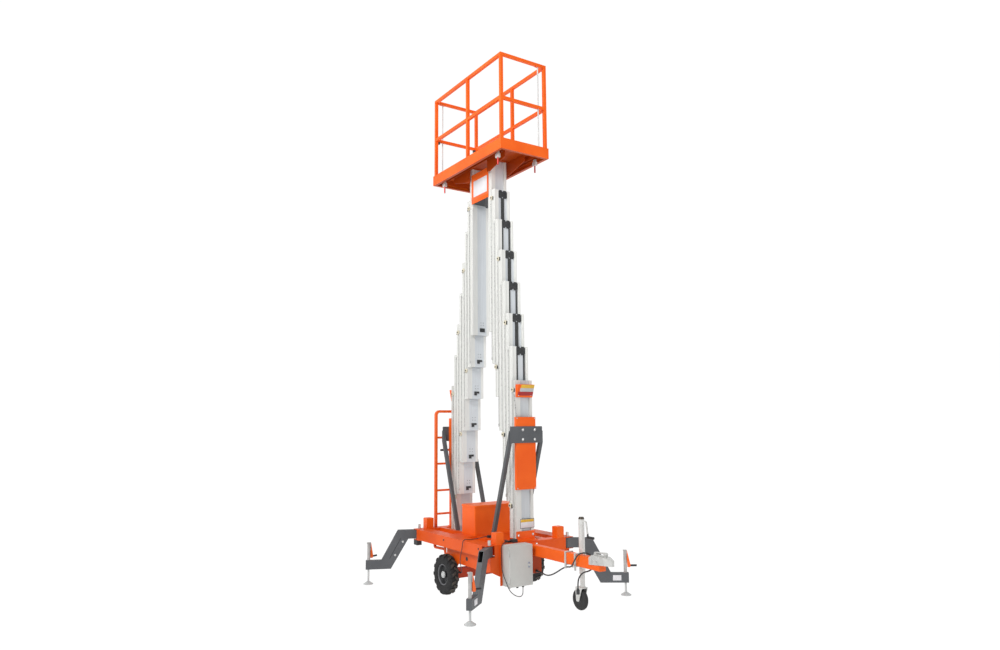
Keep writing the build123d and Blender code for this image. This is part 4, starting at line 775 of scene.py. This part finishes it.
# Fittings of each section: rollers with a dark bracket, partly a real bracket and partly painted shade for
# the roller's shadow, and a bolt, guide cables on the near side, the screws of the anchor blocks and the
# bolts at the head. The last section has no roller, but a stop at its foot
ROLLER = ((0.0225, 0), (0.0245, 0.0012), (0.0245, 0.0128), (0.0225, 0.0142), (0.0135, 0.0144))
ROLLER_INSET = 0.040
ROLLER_Y = -0.1143
ROLLER_BOLT_Y = -0.1287
ODD_ROLLER_DROP = 0.105
EVEN_ROLLER_DROP = 0.040
BRACKET_Y = -0.1185
CABLE_INSET = 0.0565
CABLE_Y = -0.1195
CABLE_RADIUS = 0.0022
CABLE_FOOT = 0.06
CABLE_HEAD = 0.05
ANCHOR_INSET = 0.060
ANCHOR_RISE = 0.140
HEAD_BOLT_DROP = 0.048
NEARWARD = (0, -1, 0)
for number in range(1, SECTIONS + 1):
    face, low, top, body = section(number)
    odd = number % 2 == 1
    last = number == SECTIONS
    roller_z = top - ODD_ROLLER_DROP if odd else low + SECTION_RAISE - EVEN_ROLLER_DROP
    cable_low = low + CABLE_FOOT if odd else roller_z
    cable_top = roller_z if odd else top - CABLE_HEAD
    metal = bmesh.new()
    pale = bmesh.new()
    dark = bmesh.new()
    for side in (1, -1):
        if not last:
            roller_x = side * (face - ROLLER_INSET)
            lathe(pale, ROLLER, 28, at(roller_x, ROLLER_Y, roller_z), NEARWARD)
            bolt(dark, at(roller_x, ROLLER_BOLT_Y, roller_z), NEARWARD, 0.0068)
            # Dark bracket beside the roller: partly a real bracket and partly painted shade for the roller's
            # shadow
            slab(dark, at(roller_x + side * 0.028, BRACKET_Y, roller_z - 0.006), (0.010, 0.009, 0.040), 0.001)
            cable_x = side * (face - CABLE_INSET)
            run(metal, (at(cable_x, CABLE_Y, cable_low), at(cable_x, CABLE_Y, cable_top)), CABLE_RADIUS, 6)
            end_z = cable_low if odd else cable_top
            slab(metal, at(cable_x, BRACKET_Y, end_z), (0.012, 0.009, 0.030), 0.001)
        inner = side * (face - ANCHOR_INSET)
        if number > 1:
            for hole_y in (-0.017, 0.017):
                for hole_z in (-0.016, 0.016):
                    place = at(inner, GROOVE_Y + hole_y, low + ANCHOR_RISE + hole_z)
                    screw(dark, place, (-side, 0, 0), 0.0042)
        if last:
            slab(dark, at(inner - side * 0.0045, GROOVE_Y, low + 0.065), (0.009, 0.066, 0.046), 0.001)
        elif number > 1:
            for bolt_y in (-0.035, 0.035):
                place = at(side * (face - 0.0017), GROOVE_Y + bolt_y, top - HEAD_BOLT_DROP)
                bolt(dark, place, (side, 0, 0), 0.0055)
    if last:
        metal.free()
        pale.free()
    else:
        keep(metal, f"section_metal_{number}", body, steel)
        keep(pale, f"section_roller_{number}", body, cream)
    keep(dark, f"section_bolts_{number}", body, black_steel)
    if 1 < number < SECTIONS:
        rollers = [(at(side * (face - ROLLER_INSET), -0.1203, roller_z), 0.0225, NYLON) for side in (1, -1)]
        gear_look = part_look(f"lift_gear_{number}", BLACK, BLACK_WORN, rollers, metallic=0.2)
        dress(gear_look, f"lift_chain_{number}")

# Fixings at both ends of the chassis: what, X from the middle, Y places, Z places, tilt, size
COVER_X = 0.742
PLATE_X = 0.7503
END_FIXINGS = (
    (screw, COVER_X, (-0.118, 0.118), (1.176, 1.931), 0, 0.007),
    (bolt, PLATE_X, (-0.048, 0.112), (1.700, 1.804), 0, 0.011),
    (bolt, MAST_FACE + 0.008, (-0.095, 0.095), (0.680,), 0, 0.009),
    (screw, MAST_FACE + 0.0195, (-0.085, 0.085), (2.180,), -0.4, 0.006),
)
# Bolts through the tow bar from both sides: X places, half width, height, size
BAR_BOLTS = (
    ((1.450, 1.600), 0.044, 0.459, 0.006),
    ((1.860, 1.920), 0.0455, 0.578, 0.008),
)
FLANGE_X = 0.827
PIN_TOP = 0.674
PULL_RING = 0.014
PULL_DROP = 0.012
PULL_TILT = 0.008
PULL_STEPS = 16
trim = bmesh.new()
for side in (1, -1):
    for make, x, y_places, z_places, tilt, size in END_FIXINGS:
        for y in y_places:
            for z in z_places:
                make(trim, at(side * x, y, z), (side, 0, tilt), size)
for y in (-0.060, 0.060):
    for z in (0.497, 0.593):
        bolt(trim, at(FLANGE_X, y, z), (1, 0, 0), 0.010)
for x_places, half, z, size in BAR_BOLTS:
    for x in x_places:
        for side in (1, -1):
            bolt(trim, at(x, side * half, z), (0, side, 0), size)
# Thin rod beside the front cover, with its thicker end
run(trim, (at(0.692, -0.1185, 2.190), at(0.728, -0.1225, 1.985)), 0.0035)
run(trim, (at(0.728, -0.1225, 1.985), at(0.734, -0.1230, 1.9435)), 0.0070)
# Pull rings of the outrigger pins
for side_x in (1, -1):
    for side_y in (1, -1):
        pin = at(side_x * PIN_X, side_y * PIN_Y, PIN_TOP)
        loop = []
        for step in range(PULL_STEPS + 1):
            angle = 2 * pi * step / PULL_STEPS
            height = PULL_TILT * sin(angle) - PULL_DROP
            loop.append(pin + Vector((PULL_RING * cos(angle), PULL_RING * sin(angle), height)))
        run(trim, loop, 0.0022, 6)
keep(trim, "chassis_fixings", "chassis", steel)

# Labels of the front arms and of the front mast's foot, and the head box's sheet
ARM_FACE = 0.0284
LABEL_BACK = 0.095
for name, side_x, side_y, angle, reach, low_z, crank_turn in OUTRIGGERS[:2]:
    pin, along, facing = arm_frame(side_x, side_y, angle)
    middle = pin + along * (reach - LABEL_BACK) + facing * ARM_FACE + UP * low_z
    keep_slabs(f"arm_label_{name}", f"outrigger_{name}", white_label, "box_paint",
               (middle, (0.092, 0.0012, 0.056), 0.0004, axes(along, facing, UP)))
keep_slabs("foot_label", "chassis", white_label, "box_paint",
           (at(MAST_FACE - 0.0002, 0.028, 0.797), (0.0016, 0.178, 0.090), 0.0004))
keep_slabs("foot_label_stripe", "chassis", yellow_label, "box_paint",
           (at(MAST_FACE + 0.0008, 0.028, 0.826), (0.0010, 0.172, 0.028), 0.0003))
keep_slabs("head_sheet", "stage_8", white_label, "box_paint",
           (at(0.012, -0.1229, 4.757), (0.308, 0.0010, 0.202), 0.0003))
keep_slabs("foot_label_border", "chassis", black_plastic, "black_plastic",
           (at(MAST_FACE - 0.0004, 0.028, 0.797), (0.0016, 0.188, 0.100), 0.0004))

# Foot of the head panel, with a black pan behind it that is painted shade under the head box, and a dark
# block that is partly a real dark part and partly painted shade
keep_slabs("head_panel_foot", "stage_8", orange, "orange_paint",
           (at(0.000, -0.1184, 4.6013), (0.380, 0.0076, 0.0470), 0.001))
# Painted shade: the black pan stands for the shade under the head box; the block below it is partly a dark
# part and partly painted shade
keep_slabs("head_pan", "stage_8", black_plastic, "black_plastic",
           (at(-0.0235, 0.0, 4.5805), (0.302, 0.224, 0.005), 0.001),
           (at(0.152, -0.1043, 4.4760), (0.044, 0.034, 0.0480), 0.001))

# Painted shade and bolts on the forward faces of the rear arms: a dark strip for the shadow line along the
# arm's flange, then bolts; distances out from the pin, then heights
SHADOW_LINE = ((0.2216, 0.5195), (0.3521, 0.2881))
ARM_BOLTS = ((0.1963, 0.4785), (0.2862, 0.3269))
REAR_ARM_FACE = 0.0282
for name, side_x, side_y, angle, reach, low_z, crank_turn in OUTRIGGERS[2:]:
    pin, along, facing = arm_frame(side_x, side_y, angle)
    face = pin + facing * REAR_ARM_FACE
    start, end = (face + along * out + UP * z for out, z in SHADOW_LINE)
    slope = (end - start).normalized()
    # Painted shade: a thin dark strip that stands for the shadow line along the flange
    keep_slabs(f"arm_shadow_line_{name}", f"outrigger_{name}", black_steel, "black_plastic",
               ((start + end) / 2, ((end - start).length, 0.0008, 0.007), 0.0002,
                axes(slope, facing, slope.cross(facing))))
    arm_bolts = bmesh.new()
    for out, z in ARM_BOLTS:
        bolt(arm_bolts, face + along * out + UP * z, facing, 0.009)
    keep(arm_bolts, f"arm_bolts_{name}", f"outrigger_{name}", smooth_zinc)

# Blank stripes on the flared hoods: name, material, share up the slope, height, width, middle in Y
HOOD_X = MAST_FACE + 0.014
HOOD_Z = 2.160
HOOD_FLARE = 0.046
HOOD_HEIGHT = 0.140
STRIPES = (
    ("yellow", yellow_label, 0.845, 0.038, 0.176, 0.020),
    ("grey", grey_label, 0.575, 0.040, 0.184, 0.016),
    ("red", red_label, 0.285, 0.044, 0.204, 0.006),
)
for end_name, side in (("front", 1), ("rear", -1)):
    slope = Vector((side * HOOD_FLARE, 0, HOOD_HEIGHT)).normalized()
    normal = Vector((side * slope.z, 0, -abs(slope.x)))
    for label, material, share, height, width, middle_y in STRIPES:
        place = at(side * (HOOD_X + HOOD_FLARE * share), middle_y, HOOD_Z + HOOD_HEIGHT * share)
        lying = axes(normal, (0, 1, 0), slope)
        keep_slabs(f"hood_{label}_{end_name}", "chassis", material, "box_paint",
                   (place + normal * 0.0004, (0.0012, width, height), 0.0004, lying))

# Door lock and its plate, and the lamps' lenses
LOCK = ((0.0075, 0), (0.0075, 0.002), (0.006, 0.003), (0.003, 0.003), (0.0025, 0.001))
LOCK_Y = -0.139
LOCK_Z = 0.4195
lock = bmesh.new()
lathe(lock, LOCK, 24, at(0.9703, LOCK_Y, LOCK_Z), (1, 0, 0))
slab(lock, at(0.9728, LOCK_Y, LOCK_Z), (0.003, 0.003, 0.012), 0.0005)
keep(lock, "door_lock", "control_door", steel)
keep_slabs("lock_plate", "control_door", lock_blue, "black_plastic",
           (at(0.9622, LOCK_Y, LOCK_Z), (0.0016, 0.018, 0.056), 0.0006))
keep_slabs("lamp_lenses", "chassis", lamp_red, "black_plastic",
           *((at(-0.8152, y, 0.468), (0.004, 0.050, 0.050), 0.0015) for y in (-0.542, 0.542)))

# Jockey wheel: ribbed tread and dark hub
JOCKEY_TREAD = (
    (0.0086, -0.026), (0.040, -0.026), (0.046, -0.0225), (0.066, -0.0225), (0.070, -0.026), (0.084, -0.026),
    (0.093, -0.023), (0.100, -0.017), (0.1035, -0.009), (0.104, 0.0), (0.1035, 0.009), (0.100, 0.017),
    (0.093, 0.023), (0.084, 0.026), (0.070, 0.026), (0.066, 0.0225), (0.046, 0.0225), (0.040, 0.026),
    (0.0086, 0.026),
)
JOCKEY_HUB = ((0.036, 0), (0.034, 0.002), (0.018, 0.003), (0.014, 0.006), (0.010, 0.006))
jockey = bmesh.new()
lathe(jockey, JOCKEY_TREAD, 72, at(JOCKEY_X, JOCKEY_Y, JOCKEY_Z), (0, 1, 0))
jockey_tread = keep(jockey, "jockey_tread", "jockey_wheel", rubber, 30)
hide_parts("jockey_wheel")
hub = bmesh.new()
for side in (1, -1):
    lathe(hub, JOCKEY_HUB, 32, at(JOCKEY_X, JOCKEY_Y + side * 0.0258, JOCKEY_Z), (0, side, 0))
keep(hub, "jockey_hub", "jockey_wheel", black_steel)

# Dark small parts of the chassis: gland nuts under the box, a plug and two screws on its near side, and a
# block beside the box cable's plug
GLANDS = ((0.868, -0.325), (0.900, -0.248), (0.900, -0.176))
GLAND_FLANGE = ((0.018, 0), (0.018, 0.008), (0.0165, 0.010))
GLAND_NUT = ((0.0145, 0), (0.0145, 0.006), (0.011, 0.010))
SKIRT_PLUG = ((0.023, 0), (0.023, 0.004), (0.020, 0.006), (0.006, 0.006), (0.005, 0.004))
small_parts = bmesh.new()
for x, y in GLANDS:
    lathe(small_parts, GLAND_FLANGE, 6, at(x, y, 0.2135), -UP)
    lathe(small_parts, GLAND_NUT, 12, at(x, y, 0.2035), -UP)
lathe(small_parts, SKIRT_PLUG, 24, at(0.342, -0.517, 0.427), NEARWARD)
for x in (-0.074, 0.666):
    screw(small_parts, at(x, -0.5742, 0.580), NEARWARD, 0.010)
slab(small_parts, at(0.703, -0.236, 0.6335), (0.084, 0.018, 0.018), 0.003)
keep(small_parts, "gland_nuts", "chassis", black_plastic)
keep_slabs("tow_bar_end", "chassis", orange, "orange_paint",
           (at(1.9515, 0, 0.545), (0.003, 0.080, 0.112), 0.001))

# Weld beads of the guardrail's posts, the tow bar's flange and the corner sockets
RAIL_X = 0.7685
RAIL_Y = 0.3075
RAIL_HALF = 0.018
POSTS = (
    (RAIL_X, RAIL_Y), (-RAIL_X, RAIL_Y), (RAIL_X, -RAIL_Y), (-RAIL_X, -RAIL_Y),
    (0.100, RAIL_Y), (0.030, -RAIL_Y),
)
RAIL_ENDS = (5.0483, 6.074)
beads = bmesh.new()
for x, y in POSTS:
    for z in RAIL_ENDS:
        square_weld(beads, x, y, z, RAIL_HALF, 0.0024)
keep(beads, "rail_welds", "stage_8", orange)
beads = bmesh.new()
BEAD_X = 0.8272
weld(beads, at(BEAD_X, -0.040, 0.6015), at(BEAD_X, 0.040, 0.6015), 0.0035)
for y in (-0.0405, 0.0405):
    weld(beads, at(BEAD_X, y, 0.497), at(BEAD_X, y, 0.593), 0.0035)
for x in (0.765, -0.765):
    for y in (0.400, -0.400):
        square_weld(beads, x, y, 0.6245, 0.046, 0.003)
keep(beads, "chassis_welds", "chassis", orange)

# Floor with a backdrop that curves up behind, and soft studio light
STAGE_HALF = 120.0
STAGE_FRONT = -40.0
STAGE_BACK = 45.0
STAGE_CURVE = 18.0
STAGE_TOP = 70.0
STAGE_STEPS = 12
bend = STAGE_BACK - STAGE_CURVE
rows = [(STAGE_FRONT, 0.0), (bend, 0.0)]
for step in range(1, STAGE_STEPS + 1):
    turned = pi / 2 * step / STAGE_STEPS
    rows.append((bend + STAGE_CURVE * sin(turned), STAGE_CURVE * (1 - cos(turned))))
rows.append((STAGE_BACK, STAGE_TOP))
level = Vector((-sin(YAW), cos(YAW), 0))
across = level_right * STAGE_HALF
stage = bmesh.new()
lines = []
for forward, height in rows:
    base = level * forward + UP * height
    lines.append((stage.verts.new(base - across), stage.verts.new(base + across)))
for low, high in zip(lines, lines[1:]):
    stage.faces.new((low[0], low[1], high[1], high[0]))
stage_data = bpy.data.meshes.new("studio_floor")
stage.to_mesh(stage_data)
stage.free()
for polygon in stage_data.polygons:
    polygon.use_smooth = True
floor = bpy.data.objects.new("studio_floor", stage_data)
bpy.context.collection.objects.link(floor)
look = Look("studio_paper", 0.9, specular=0.1)
look.shader.inputs["Base Color"].default_value = (0.05, 0.05, 0.05, 1)
look.shader.inputs["Emission Color"].default_value = (1, 1, 1, 1)
look.shader.inputs["Emission Strength"].default_value = 1.0
stage_data.materials.append(look.material)

world = bpy.data.worlds.new("studio")
world.use_nodes = True
world.node_tree.nodes["Background"].inputs["Color"].default_value = (1, 1, 1, 1)
world.node_tree.nodes["Background"].inputs["Strength"].default_value = 0.35
bpy.context.scene.world = world
bpy.context.scene.view_settings.view_transform = "Standard"

LIGHT_AIM = Vector((0, 0, 2.2))


def soft_light(name, place, size, power):
    data = bpy.data.lights.new(name, "AREA")
    data.shape = "SQUARE"
    data.size = size
    data.energy = power
    lamp = bpy.data.objects.new(name, data)
    bpy.context.collection.objects.link(lamp)
    lamp.location = place
    lamp.rotation_euler = (LIGHT_AIM - Vector(place)).to_track_quat("-Z", "Y").to_euler()


soft_light("key", (3.0, -9.0, 9.0), 5.0, 1000)
soft_light("side", (9.0, 2.0, 5.0), 4.0, 150)
